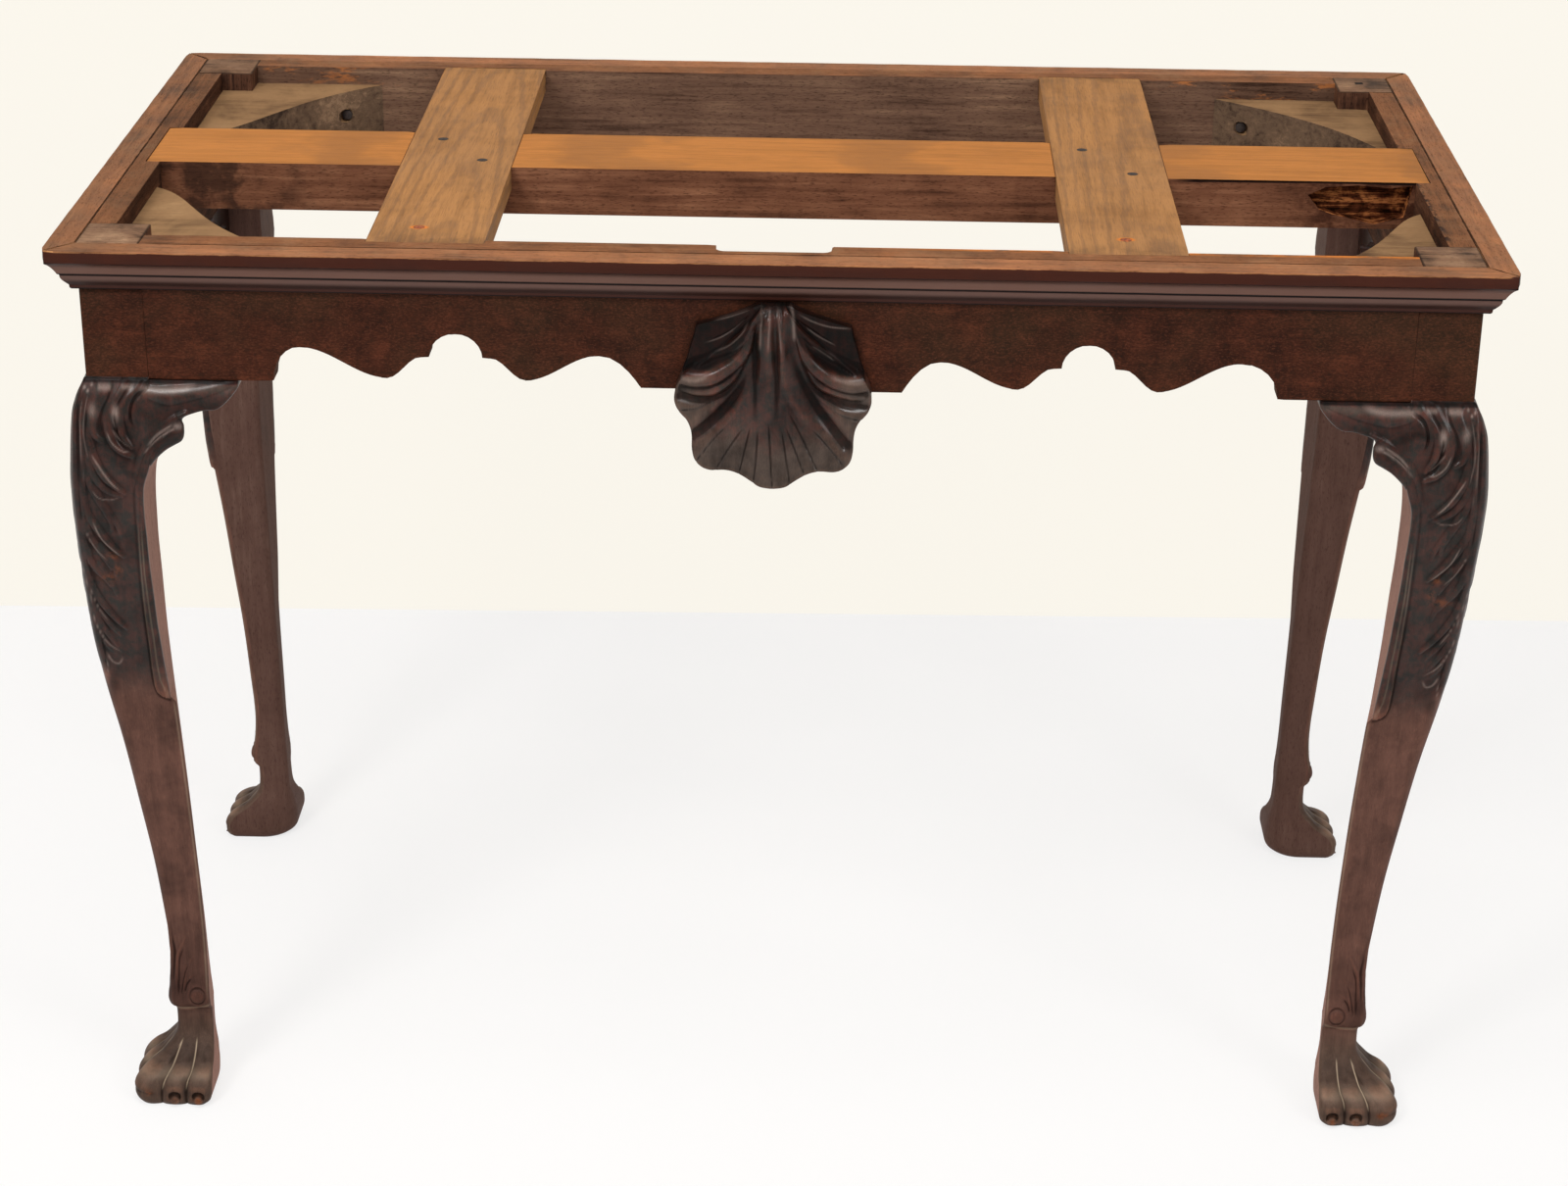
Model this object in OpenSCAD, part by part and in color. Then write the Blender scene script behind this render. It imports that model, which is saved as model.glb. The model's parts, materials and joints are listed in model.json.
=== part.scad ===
// Side table: an open frame of rails on four carved cabriole legs, without its loose top.
// X runs along the front, Y to the back, Z up. The origin is on the floor, mid footprint.

/* [Overall size] */
// Length over the moulding
table_length = 1130; // [1000:10:1300]
// Depth over the moulding
table_depth = 592; // [540:4:680]
// Height of the frame's upper face above the floor
table_height = 779; // [740:1:820]

/* [Rails and posts] */
// Thickness of the four rails
rail_thickness = 22; // [20:1:24]
// Height of the four rails
rail_height = 111; // [105:1:120]
// Side of the square post at the head of each leg
post_side = 49; // [46:1:54]
// Length of each rail's tenon inside its post
tenon_length = 28; // [20:1:28]
// Thickness of each tenon
tenon_thickness = 10; // [8:1:12]

/* [Legs] */
// How much of the old table's uneven stance the legs keep: 0 stands true, 1 as it is now
leg_set = 1; // [0:0.1:1]

/* [Moulding] */
// How far the moulding stands out from the rails
moulding_out = 23; // [20:1:26]
// Height of the moulding
moulding_height = 36; // [32:1:40]
// Height of its plain upper band
fascia_height = 10; // [8:1:13]

/* [Cross members] */
// Width of the long centre stretcher
stretcher_width = 100; // [80:2:110]
// Thickness of the centre stretcher
stretcher_thickness = 40; // [36:1:44]
// Width of each cross batten
batten_width = 92; // [80:1:100]
// Thickness of each cross batten
batten_thickness = 19; // [16:1:22]
// How far each batten is let into the front and back rails
batten_let_in = 7; // [5:1:9]

/* [Corner braces] */
// Reach of a brace along the front or back rail
brace_reach_x = 142; // [120:2:150]
// Reach of a brace along the side rail
brace_reach_y = 178; // [150:2:180]
// Thickness of a brace
brace_thickness = 44; // [36:1:50]
// Drop from the rails' upper face to the brace
brace_drop = 16; // [12:1:24]

/* [Carved shell] */
// Drop of the shell's lowest lobe below the front rail
shell_drop = 76; // [60:1:90]
// How far the shell's rim stands out from the front rail
shell_out = 19; // [14:1:22]

/* [Hidden] */
$fn = 48;

// Frame of the rails, inside the moulding
frame_length = table_length - 2 * moulding_out;
frame_depth = table_depth - 2 * moulding_out;
leg_height = table_height - rail_height;
half_length = frame_length / 2;
half_depth = frame_depth / 2;
inside_x = half_length - rail_thickness;
inside_y = half_depth - rail_thickness;
rail_x = half_length - post_side;
rail_y = half_depth - post_side;
tenon_height = rail_height - 24;
tenon_set_in = 6;
cut = 1;

// Fixings
screw_radius = 2.2;
screw_head_radius = 4.5;
screw_head_height = 3;
pocket_radius = 6;
rail_bite = 14;

// Colours
mahogany = "#4a211b";
frieze_brown = "#3d201a";
moulding_brown = "#8a5236";
pine = "#b07a48";
batten_pine = "#8f6a48";
brace_tan = "#8d7055";
iron = "#5a4a42";

// ---------- smooth curves ----------

// Slope of column k of a list of stations at station i
function slope(list, i, k) =
    let (a = max(i - 1, 0), b = min(i + 1, len(list) - 1))
    (list[b][k] - list[a][k]) / (list[b][0] - list[a][0]);

// Station that a value falls after
function station(list, x, i = 0) =
    i >= len(list) - 2 || x < list[i + 1][0] ? i : station(list, x, i + 1);

// Column k of a list of stations, drawn as one smooth curve through them
function smooth(list, x, k) =
    let (
        i = station(list, x),
        gap = list[i + 1][0] - list[i][0],
        t = (x - list[i][0]) / gap,
        t2 = t * t,
        t3 = t2 * t
    )
    (2 * t3 - 3 * t2 + 1) * list[i][k] + (3 * t2 - 2 * t3) * list[i + 1][k]
    + (t3 - 2 * t2 + t) * gap * slope(list, i, k)
    + (t3 - t2) * gap * slope(list, i + 1, k);

// Point of a cubic curve from a to d
function bezier(a, b, c, d, t) =
    pow(1 - t, 3) * a + 3 * t * pow(1 - t, 2) * b + 3 * t * t * (1 - t) * c + pow(t, 3) * d;

// ---------- legs ----------

// One leg's shape in its own corner: [height, outer face, inner face, radius of the outer
// corner, radius of the inner corner or heel]. Both outer faces stand that far out from the
// rails, and both inner faces that far in.
LEG = [
    [0, 0.5, 59, 15, 28], [4, 3.2, 62.5, 17, 28], [10, 4.6, 64.5, 18, 28],
    [17, 4, 65, 18, 27], [24, 0, 65, 17, 26], [30, -7.5, 64.5, 16, 24],
    [35.5, -15, 64, 14, 21], [41, -20.5, 63, 12, 18], [47, -26, 62, 10, 15],
    [54, -30, 61, 8, 11], [62, -31.5, 60.5, 6, 8], [76, -31.6, 60, 6, 4],
    [79, -31, 60, 7, 3], [82, -27.8, 59.8, 8, 3], [89, -26, 59.5, 10, 3],
    [98, -26.8, 59, 11, 3], [112, -29, 58.5, 8, 3], [130, -30.2, 58, 6, 3],
    [150, -29.6, 57.5, 6, 3], [165, -28.4, 57, 7, 3], [225, -23, 54.5, 8, 3],
    [285, -15.5, 52, 9, 3], [345, -7.5, 49, 10, 3], [400, 1.5, 46, 11, 3],
    [440, 7.5, 44, 12, 3], [485, 12, 42.5, 13, 3], [530, 15.5, 41, 14, 3],
    [580, 17.5, 42, 14, 3], [604, 16.5, 49, 13, 3], [640, 12.5, 49, 9, 3],
    [655, 8, 49, 6, 3], [668, 2, 49, 3, 3]
];
leg_heights = [
    0, 4, 10, 17, 24, 30, 36, 41, 47, 54, 62, 70, 76, 79, 82, 89, 98, 112, 130, 150, 180, 225,
    270, 315, 350, 387, 392, 415, 440, 485, 530, 565, 582, 594, 604, 625, 640, 650, 660, 668
];

// How far each side corner stands in beyond the leg's inner corner, by height: the front
// legs, with a ledge under the carved knee, and the plainer rear legs
FRONT_FLARE = [
    [30, 0], [62, 2.5], [76, 3], [130, 4], [200, 6], [300, 8], [333, 8.5], [380, 9.5],
    [387, 9.5], [392, 5.4], [440, 4.6], [465, 3.7], [540, 2.6], [570, 1.3], [604, 0]
];
REAR_FLARE = [[246, 0], [292, 1.9], [342, 3.1], [390, 4.1], [450, 5], [500, 4.5], [604, 0]];
drawn_leg_height = 668;
toe_depth = 3;
toe_top = 46;
knee_ledge = 1.5;

// Where each foot has moved to, along X and Y: front left, front right, rear left, rear right
foot_set = [[-6, -4], [-4.5, 4], [-13, -6], [3, -3]];
set_top = 600;

function leg_out(z) = smooth(LEG, z, 1);
function leg_in(z) = smooth(LEG, z, 2) + (z > drawn_leg_height - 65 ? post_side - 49 : 0);
function leg_round(z) = smooth(LEG, z, 3);
function leg_heel(z) = smooth(LEG, z, 4);
function side_round(z) = 3 + 0.36 * (leg_heel(z) - 3);
function set_share(z) = z < set_top ? leg_set * (1 - pow(z / set_top, 2.5)) : 0;

// Depth of the grooves between the toes, at a share s of the way along an outer face
function toe_swell(s, z) =
    z >= toe_top ? 0 : toe_depth * sin(180 * min(z + 12, toe_top - z, 20) / 40)
    * (abs(cos(180 * (1.5 * s + 0.5))) - 0.7);

// One ring round the leg at height z, from the outer corner and along the front, from an
// outer face at o to an inner corner at a, with an outer corner of radius r, side corners of
// radius q that stand f further in, and an inner corner of radius h
function leg_ring(z, o, a, r, q = 3, h = 3, f = 0) =
    let (along = a + f - q - (o + r))
    concat(
        [for (i = [0:3]) let (g = 202.5 + 15 * i)
            [o + r + r * cos(g), o + r + r * sin(g), z]],
        [for (i = [0:6]) let (s = i / 6) [o + r + along * s, o - toe_swell(s, z), z]],
        [for (g = [-45, 0]) [a + f - q + q * cos(g), o + q + q * sin(g), z]],
        [for (g = [0:18:90]) [a - h + h * cos(g), a - h + h * sin(g), z]],
        [for (g = [90, 135]) [o + q + q * cos(g), a + f - q + q * sin(g), z]],
        [for (i = [6:-1:0]) let (s = i / 6) [o - toe_swell(s, z), o + r + along * s, z]]
    );

// Solid skinned over a list of rings with the same number of points, lowest ring first,
// with both ends closed as fans about a point inside every ring
module skin(rings, inside) {
    count = len(rings[0]);
    last = len(rings) - 1;
    hub = count * len(rings);
    polyhedron(
        points = concat(
            [for (ring = rings, p = ring) p],
            [for (k = [0, last]) [inside, inside, rings[k][0].z]]),
        faces = [for (i = [0:count - 1])
            let (j = (i + 1) % count, top = last * count)
            each concat(
                [[hub, i, j], [hub + 1, top + j, top + i]],
                [for (k = [0:last - 1])
                    let (low = k * count, high = low + count)
                    each [[low + i, high + i, low + j], [low + j, high + i, high + j]]])]
    );
}

// Tenon mortises in a post, seen from the leg's own corner
module post_mortises() {
    middle = (rail_thickness - tenon_thickness) / 2;
    low = leg_height + (rail_height - tenon_height) / 2;
    translate([post_side - tenon_length, middle, low])
        cube([tenon_length + cut, tenon_thickness, tenon_height]);
    translate([middle, post_side - tenon_length, low])
        cube([tenon_thickness, tenon_length + cut, tenon_height]);
}

// Leg in the corner where both rails' outer faces meet at the origin, with its foot moved
// inwards from each side by the two numbers of moved, and its side corners' flare
module leg(moved, flare) {
    stretch = leg_height / drawn_leg_height;
    shaped = [for (z = leg_heights)
        let (s = set_share(z), f = lookup(z, flare))
        [for (p = leg_ring(z, -leg_out(z), leg_in(z), leg_round(z), side_round(z), leg_heel(z), f))
            [p.x + s * moved.x, p.y + s * moved.y, p.z * stretch]]];
    post = [for (z = [leg_height + knee_ledge, table_height]) leg_ring(z, 0, post_side, 1)];
    color(mahogany) difference() {
        skin(concat(shaped, post), post_side / 2);
        post_mortises();
    }
}

// Puts a shape drawn in a corner into one of the four corners
module corner(side_x, side_y) {
    mirror([side_x > 0 ? 1 : 0, 0, 0])
        mirror([0, side_y > 0 ? 1 : 0, 0])
            translate([-half_length, -half_depth, 0])
                children();
}

// Leg in one of the four corners, with its foot moved along X and Y
module standing_leg(side_x, side_y, moved) {
    corner(side_x, side_y)
        leg([-side_x * moved.x, -side_y * moved.y], side_y < 0 ? FRONT_FLARE : REAR_FLARE);
}

// ---------- brackets under the rails ----------

// Ear and scroll of a bracket: [distance from the corner, drop below the rail]
bracket_outline = [
    [120, 0], [119.5, 5], [116, 10], [111, 15.5], [105.5, 20], [100.5, 22], [93, 22.5],
    [84, 25], [78, 27.5], [75.6, 30], [77, 34.5], [76.8, 42], [74.5, 47], [69, 50.5],
    [63, 54], [58, 58], [53, 63], [49, 68]
];
bracket_back = 20;

// Bracket that runs along the front from a front left leg
module front_bracket() {
    knee = [for (z = [leg_height - 70 : 5 : leg_height])
        [-leg_out(z * drawn_leg_height / leg_height), z]];
    color(mahogany) intersection() {
        translate([0, moulding_out + cut, 0]) rotate([90, 0, 0])
            linear_extrude(2 * moulding_out + 2 * cut)
                polygon(concat(
                    [[post_side, leg_height]],
                    [for (p = bracket_outline) [p.x + post_side - 49, leg_height - p.y]]));
        rotate([90, 0, 90]) linear_extrude(200)
            polygon(concat(knee, [[bracket_back, leg_height], [bracket_back, leg_height - 70]]));
    }
}

// The same bracket along the side rail
module side_bracket() {
    mirror([1, -1, 0]) front_bracket();
}

// ---------- rails ----------

// Wavy lower edge of the front rail, by its rise above the rail's flat edge: a round arch in
// the middle of each wave, a step beside it, a valley, and a crest that falls to the wave's end
arch_half = 20.5;
arch_rise = 19.5;
step_end = 27;
step_rise = 22;
valley_at = 54;
valley_rise = 4.2;

// Both waves: [middle, crest on its left, crest on its right], and each crest by its distance
// from the middle, its rise, the wave's end beyond it, and how it falls there: 1 soft, 0.5 full
WAVES = [
    [-251, [122, 28.5, 143, 0.5], [112, 25.6, 144, 1]],
    [241.5, [115, 25.6, 144, 1], [118.5, 28.5, 147.5, 0.5]]
];

function sweep(a, b, t) = a + (b - a) * (1 - cos(180 * t)) / 2;
function wave(s, crest) =
    s < arch_half ? step_rise + arch_rise * sqrt(1 - pow(s / arch_half, 2))
    : s < step_end ? step_rise
    : s < valley_at ? sweep(step_rise, valley_rise, (s - step_end) / (valley_at - step_end))
    : s < crest[0] ? sweep(valley_rise, crest[1], (s - valley_at) / (crest[0] - valley_at))
    : crest[1] * pow(max(0, 1 - pow((s - crest[0]) / (crest[2] - crest[0]), 2)), crest[3]);

// Distances from the wave's middle at which its edge is drawn
function wave_stops(crest) = concat(
    [for (g = [0:15:90]) arch_half * sin(g)],
    [for (s = [step_end:4.5:crest[0] - 2]) s],
    [for (g = [0:15:90]) crest[0] + (crest[2] - crest[0]) * sin(g)]);

// One half of a wave's edge from its middle out, to the left or to the right
function half_wave(w, way) =
    let (crest = way < 0 ? w[1] : w[2])
    [for (s = wave_stops(crest)) [w[0] + way * s, leg_height + wave(s, crest)]];

// The edge of a wave from left to right
function wave_edge(w) =
    let (left = half_wave(w, -1), right = half_wave(w, 1))
    concat([for (i = [len(left) - 1:-1:0]) left[i]], [for (i = [1:len(right) - 1]) right[i]]);

module tenons(half, thickness) {
    low = leg_height + (rail_height - tenon_height) / 2;
    for (side = [-1, 1])
        translate([
            side > 0 ? half : -half - tenon_length,
            (thickness - tenon_thickness) / 2,
            low
        ])
            cube([tenon_length, tenon_thickness, tenon_height]);
}

// Middle of each batten and of the stretcher
left_batten_x = -274;
right_batten_x = 269.5;
stretcher_y = -5;

// Housings for the battens' ends in a rail drawn with its outer face at y = 0
module batten_housings() {
    for (x = [left_batten_x, right_batten_x])
        translate([x - batten_width / 2, rail_thickness - batten_let_in,
                   table_height - batten_thickness])
            cube([batten_width, batten_let_in + cut, batten_thickness + cut]);
}

// Hand-sized notch in the inner edge of the front rail
notch_x = -4;
notch_length = 89;
notch_depth = 15;
notch_drop = 24;
notch_round = 7;
module rail_notch() {
    low = table_height - notch_drop;
    for (side = [-1, 1])
        translate([notch_x + side * (notch_length / 2 - notch_round),
                   rail_thickness - notch_depth + notch_round, low])
            cylinder(r = notch_round, h = notch_drop + cut);
    translate([notch_x - notch_length / 2 + notch_round, rail_thickness - notch_depth, low])
        cube([notch_length - 2 * notch_round, notch_depth + cut, notch_drop + cut]);
    translate([notch_x - notch_length / 2, rail_thickness - notch_depth + notch_round, low])
        cube([notch_length, notch_depth, notch_drop + cut]);
}

// Body of the long rails, with its outer face at y = 0 and its lower edge left plain or waved
module long_rail(waved) {
    top = [[rail_x, table_height], [-rail_x, table_height]];
    flat = [[-rail_x, leg_height], [rail_x, leg_height]];
    translate([0, rail_thickness, 0]) rotate([90, 0, 0]) linear_extrude(rail_thickness)
        polygon(waved
            ? concat([[-rail_x, leg_height]], wave_edge(WAVES[0]), wave_edge(WAVES[1]),
                     [[rail_x, leg_height]], top)
            : concat(flat, top));
    tenons(rail_x, rail_thickness);
}

module front_rail() {
    color(frieze_brown) translate([0, -half_depth, 0]) difference() {
        long_rail(true);
        batten_housings();
        rail_notch();
        brace_pilots_long();
    }
}

module back_rail() {
    color(frieze_brown) mirror([0, 1, 0]) translate([0, -half_depth, 0]) difference() {
        long_rail(false);
        batten_housings();
        brace_pilots_long();
    }
}

stretcher_let_in = 12;
module side_rail(side) {
    color(frieze_brown) mirror([side > 0 ? 1 : 0, 0, 0]) difference() {
        translate([-half_length, 0, 0]) {
            translate([0, -rail_y, leg_height])
                cube([rail_thickness, 2 * rail_y, rail_height]);
            rotate([0, 0, 90]) mirror([0, 1, 0]) tenons(rail_y, rail_thickness);
        }
        translate([-inside_x - stretcher_let_in, stretcher_y - stretcher_width / 2,
                   table_height - stretcher_thickness])
            cube([stretcher_let_in + cut, stretcher_width, stretcher_thickness + cut]);
        brace_pilots_side();
    }
}

// ---------- moulding ----------

// Section of the moulding: [distance out from the rail, drop from the upper face]
function curve(a, b, c, d, step) = [for (t = [0:step:1]) bezier(a, b, c, d, t)];
moulding_section = concat(
    [[0, 0], [moulding_out, 0], [moulding_out, fascia_height],
     [moulding_out - 0.7, fascia_height + 0.6]],
    curve([moulding_out - 1.4, fascia_height + 0.9], [18, fascia_height + 2.6],
          [15.4, moulding_height - 19.5], [12.8, moulding_height - 14], 0.2),
    [[11.6, moulding_height - 13.5]],
    curve([11.3, moulding_height - 11], [10.3, moulding_height - 8.2],
          [8.2, moulding_height - 6], [6.3, moulding_height - 3.8], 0.25),
    [[6, moulding_height - 3.5], [5.7, moulding_height - 1], [4.8, moulding_height],
     [0, moulding_height]]
);

// Length of moulding along the front of a frame, mitred at both ends
module moulding(length, depth) {
    color(moulding_brown) intersection() {
        translate([-length / 2, 0, 0]) rotate([90, 0, 90]) linear_extrude(length)
            polygon([for (p = moulding_section)
                [-depth / 2 + moulding_out - p.x, table_height - p.y]]);
        linear_extrude(table_height + cut)
            polygon([
                [-length / 2, -depth / 2], [length / 2, -depth / 2],
                [length / 2 - moulding_out, -depth / 2 + moulding_out],
                [-length / 2 + moulding_out, -depth / 2 + moulding_out]
            ]);
    }
}

module end_moulding(side) {
    rotate([0, 0, side * 90]) moulding(table_depth, table_length);
}

// ---------- cross members ----------

module batten(x) {
    length = 2 * (inside_y + batten_let_in);
    color(batten_pine) difference() {
        translate([x - batten_width / 2, -length / 2, table_height - batten_thickness])
            cube([batten_width, length, batten_thickness]);
        batten_screw_shapes(0);
    }
}

// Rotten end of the stretcher's front edge: [distance from its right end, drop from its top]
decay_depth = 13;
decay = [
    [14, 3], [20, 30], [44, 36], [70, 30], [90, 24], [100, 12], [86, 5], [60, 3], [34, 5]
];
module centre_stretcher() {
    length = 2 * (inside_x + stretcher_let_in);
    front_y = stretcher_y - stretcher_width / 2;
    color(pine) difference() {
        translate([-length / 2, front_y, table_height - stretcher_thickness])
            cube([length, stretcher_width, stretcher_thickness]);
        for (x = [left_batten_x, right_batten_x])
            translate([x - batten_width / 2, front_y - cut, table_height - batten_thickness])
                cube([batten_width, stretcher_width + 2 * cut, batten_thickness + cut]);
        translate([length / 2, front_y + decay_depth, table_height]) rotate([90, 0, 0])
            linear_extrude(decay_depth + cut) polygon([for (p = decay) [-p.x, -p.y]]);
        batten_screw_shapes(0);
    }
}

// Screws through the battens: [x from the batten's middle, y, length]
batten_screw_places = [
    [left_batten_x - 9, -220, 19], [right_batten_x, -221, 19],
    [left_batten_x + 20, stretcher_y - 30, 34], [left_batten_x - 20, stretcher_y + 30, 34],
    [right_batten_x + 18, stretcher_y - 38, 34], [right_batten_x - 20, stretcher_y + 30, 34]
];
module batten_screw_shapes(sink) {
    for (p = batten_screw_places) translate([p[0], p[1], table_height - sink]) {
        translate([0, 0, -screw_head_height])
            cylinder(r = screw_head_radius, h = screw_head_height + sink);
        translate([0, 0, -p[2]]) cylinder(r = screw_radius, h = p[2]);
    }
}

module batten_screws() {
    color(iron) batten_screw_shapes(0);
}

// ---------- corner braces ----------

// Height of the screws in the braces, and their place along each leg of a brace
brace_screw_z = table_height - brace_drop - 22;
brace_screw_x = brace_reach_x - 30;
brace_screw_y = brace_reach_y - 30;

// Sawn by hand, so no two are alike: the difference from the nominal reach along X and Y, and
// the two points that bend the edge between them
BRACES = [
    [[14, -2], [44, 150], [44, 62]], [[-14, -16], [34, 138], [34, 52]],
    [[0, 0], [50, 150], [60, 62]], [[-6, -10], [22, 128], [34, 76]]
];

// Wavy inner edge of brace k, from its end on the side rail to its end on the long rail
function brace_edge(k) = [for (t = [0:0.05:1])
    bezier([0, brace_reach_y + BRACES[k][0].y], BRACES[k][1], BRACES[k][2],
           [brace_reach_x + BRACES[k][0].x, 0], t)];

// Length of each screw in brace k, from the rail to its head a little way below the wavy edge
function long_screw(k) = lookup(-brace_screw_x, [for (p = brace_edge(k)) [-p.x, p.y]]) - 6;
function side_screw(k) = let (edge = brace_edge(k))
    lookup(brace_screw_y, [for (i = [len(edge) - 1:-1:0]) [edge[i].y, edge[i].x]]) - 6;

// Screw with its head outwards along +Z from where it leaves a rail, so long in the brace
module brace_screw(in_brace) {
    translate([0, 0, -rail_bite]) cylinder(r = screw_radius, h = rail_bite + in_brace);
    translate([0, 0, in_brace]) cylinder(r = screw_head_radius, h = screw_head_height);
}

// Places both screws of a brace, in the corner where the rails' inner faces meet at the origin
module brace_screw_long() {
    translate([brace_screw_x, 0, brace_screw_z]) rotate([-90, 0, 0]) children();
}
module brace_screw_side() {
    translate([0, brace_screw_y, brace_screw_z]) rotate([0, 90, 0]) children();
}

module brace(k) {
    notch = post_side - rail_thickness;
    reach = 70;
    color(brace_tan) difference() {
        translate([0, 0, table_height - brace_drop - brace_thickness])
            linear_extrude(brace_thickness)
                polygon(concat([[notch, 0], [notch, notch], [0, notch]], brace_edge(k)));
        brace_screw_long() {
            cylinder(r = screw_radius, h = reach);
            translate([0, 0, long_screw(k)]) cylinder(r = pocket_radius, h = reach);
        }
        brace_screw_side() {
            cylinder(r = screw_radius, h = reach);
            translate([0, 0, side_screw(k)]) cylinder(r = pocket_radius, h = reach);
        }
    }
}

module inner_corner(side_x, side_y) {
    corner(side_x, side_y) translate([rail_thickness, rail_thickness, 0]) children();
}

module brace_screws() {
    color(iron) for (k = [0:3]) inner_corner(k % 2 * 2 - 1, k < 2 ? -1 : 1) {
        brace_screw_long() brace_screw(long_screw(k));
        brace_screw_side() brace_screw(side_screw(k));
    }
}

// Pilot holes in a long rail with its outer face at y = 0, and in the left side rail
module brace_pilots_long() {
    for (side = [-1, 1])
        translate([side * (inside_x - brace_screw_x), rail_thickness - rail_bite, brace_screw_z])
            rotate([-90, 0, 0]) cylinder(r = screw_radius, h = rail_bite + cut);
}
module brace_pilots_side() {
    for (side = [-1, 1])
        translate([-inside_x - rail_bite, side * (inside_y - brace_screw_y), brace_screw_z])
            rotate([0, 90, 0]) cylinder(r = screw_radius, h = rail_bite + cut);
}

// ---------- carved shell ----------

// Rim of the shell: [angle from straight down, reach from the neck], for one half
RIM = [
    [0, 149], [4, 147.5], [7, 143.2], [10, 139.8], [13, 138.2], [16, 138.8], [20, 142.3],
    [23, 142.4], [26, 139], [28.5, 132], [30.5, 124.5], [33, 118], [36, 114], [39, 112.8],
    [42, 111.3], [45.5, 107.5], [48.5, 101], [51.5, 91.5], [56, 81.5], [61, 74.5], [67, 67.5],
    [74, 62.5]
];
shell_neck = [-3, table_height - 38];
neck_half = 13;
drawn_shell_drop = 76;
shell_rows = 7;
wing_angle = 51.5;
last_angle = 74;

// The shell is drawn along one ray to each place on its rim, on both halves
RAYS = concat([for (i = [len(RIM) - 1:-1:1]) -RIM[i][0]], [for (p = RIM) p[0]]);
shell_rays = len(RAYS) - 1;

// Reach of the shell's rim, longer below the rail when the shell hangs lower
function rim_reach(angle) =
    smooth(RIM, abs(angle), 1) + (shell_drop - drawn_shell_drop) * pow(cos(angle), 4);

// Place on the shell's face at an angle and a share t of the way from neck to rim
function shell_place(angle, t) =
    let (
        end = shell_neck + rim_reach(angle) * [sin(angle), -cos(angle)],
        start = shell_neck + [neck_half * angle / last_angle, 0],
        bend = [start.x + 0.3 * (end.x - start.x), start.y - 0.5 * (start.y - end.y)]
    )
    pow(1 - t, 2) * start + 2 * t * (1 - t) * bend + t * t * end;

// How far the shell stands out there: rounded at the neck, dished, and flared at the rim
function shell_height(angle, t) =
    let (wing = abs(angle) > wing_angle)
    (wing ? 7 : 13) + (wing ? 3 : shell_out - 13) * pow(t, 2)
    + 5 * sin(180 * min(1, 1.4 * t)) * (wing ? 0.3 : 1)
    - 2 * abs(sin(angle * 180 / 14.5)) * t;

module shell_carving() {
    shares = [for (k = [0:shell_rows]) k / shell_rows];
    count = shell_rays + 1;
    points = [for (side = [0, 1], t = shares, g = RAYS)
        let (p = shell_place(g, t))
        [p.x, -half_depth - (side == 0 ? 0 : shell_height(g, t)), p.y]];
    back = 0;
    front = count * (shell_rows + 1);
    function at(side, k, i) = side + k * count + i;
    color(mahogany) polyhedron(points = points, faces = concat(
        [for (k = [0:shell_rows - 1], i = [0:shell_rays - 1]) each [
            [at(front, k, i), at(front, k, i + 1), at(front, k + 1, i)],
            [at(front, k, i + 1), at(front, k + 1, i + 1), at(front, k + 1, i)],
            [at(back, k, i), at(back, k + 1, i), at(back, k, i + 1)],
            [at(back, k, i + 1), at(back, k + 1, i), at(back, k + 1, i + 1)]
        ]],
        [for (i = [0:shell_rays - 1]) each [
            [at(back, 0, i), at(back, 0, i + 1), at(front, 0, i)],
            [at(back, 0, i + 1), at(front, 0, i + 1), at(front, 0, i)],
            [at(front, shell_rows, i), at(front, shell_rows, i + 1), at(back, shell_rows, i)],
            [at(front, shell_rows, i + 1), at(back, shell_rows, i + 1), at(back, shell_rows, i)]
        ]],
        [for (k = [0:shell_rows - 1]) each [
            [at(back, k, 0), at(front, k, 0), at(back, k + 1, 0)],
            [at(back, k + 1, 0), at(front, k, 0), at(front, k + 1, 0)],
            [at(front, k, shell_rays), at(back, k, shell_rays), at(front, k + 1, shell_rays)],
            [at(back, k, shell_rays), at(back, k + 1, shell_rays), at(front, k + 1, shell_rays)]
        ]]
    ));
}

// ---------- the pieces in their places ----------

front_rail();
back_rail();
side_rail(-1);  // left_side_rail
side_rail(1);  // right_side_rail
standing_leg(-1, -1, foot_set[0]);  // front_left_leg
standing_leg(1, -1, foot_set[1]);  // front_right_leg
standing_leg(-1, 1, foot_set[2]);  // rear_left_leg
standing_leg(1, 1, foot_set[3]);  // rear_right_leg
corner(-1, -1) front_bracket();  // front_left_front_bracket
corner(-1, -1) side_bracket();  // front_left_side_bracket
corner(1, -1) front_bracket();  // front_right_front_bracket
corner(1, -1) side_bracket();  // front_right_side_bracket
corner(-1, 1) side_bracket();  // rear_left_side_bracket
corner(1, 1) side_bracket();  // rear_right_side_bracket
shell_carving();
moulding(table_length, table_depth);  // front_moulding
rotate([0, 0, 180]) moulding(table_length, table_depth);  // back_moulding
end_moulding(-1);  // left_moulding
end_moulding(1);  // right_moulding
centre_stretcher();
batten(left_batten_x);  // left_batten
batten(right_batten_x);  // right_batten
inner_corner(-1, -1) brace(0);  // front_left_brace
inner_corner(1, -1) brace(1);  // front_right_brace
inner_corner(-1, 1) brace(2);  // rear_left_brace
inner_corner(1, 1) brace(3);  // rear_right_brace
brace_screws();
batten_screws();
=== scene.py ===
"""Looks of the carved side table: an open frame on four cabriole legs, without its loose top."""

import json
import math

import bmesh
import bpy
import numpy as np
from bpy.props import FloatProperty, FloatVectorProperty, PointerProperty
from mathutils import Matrix, Vector

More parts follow.
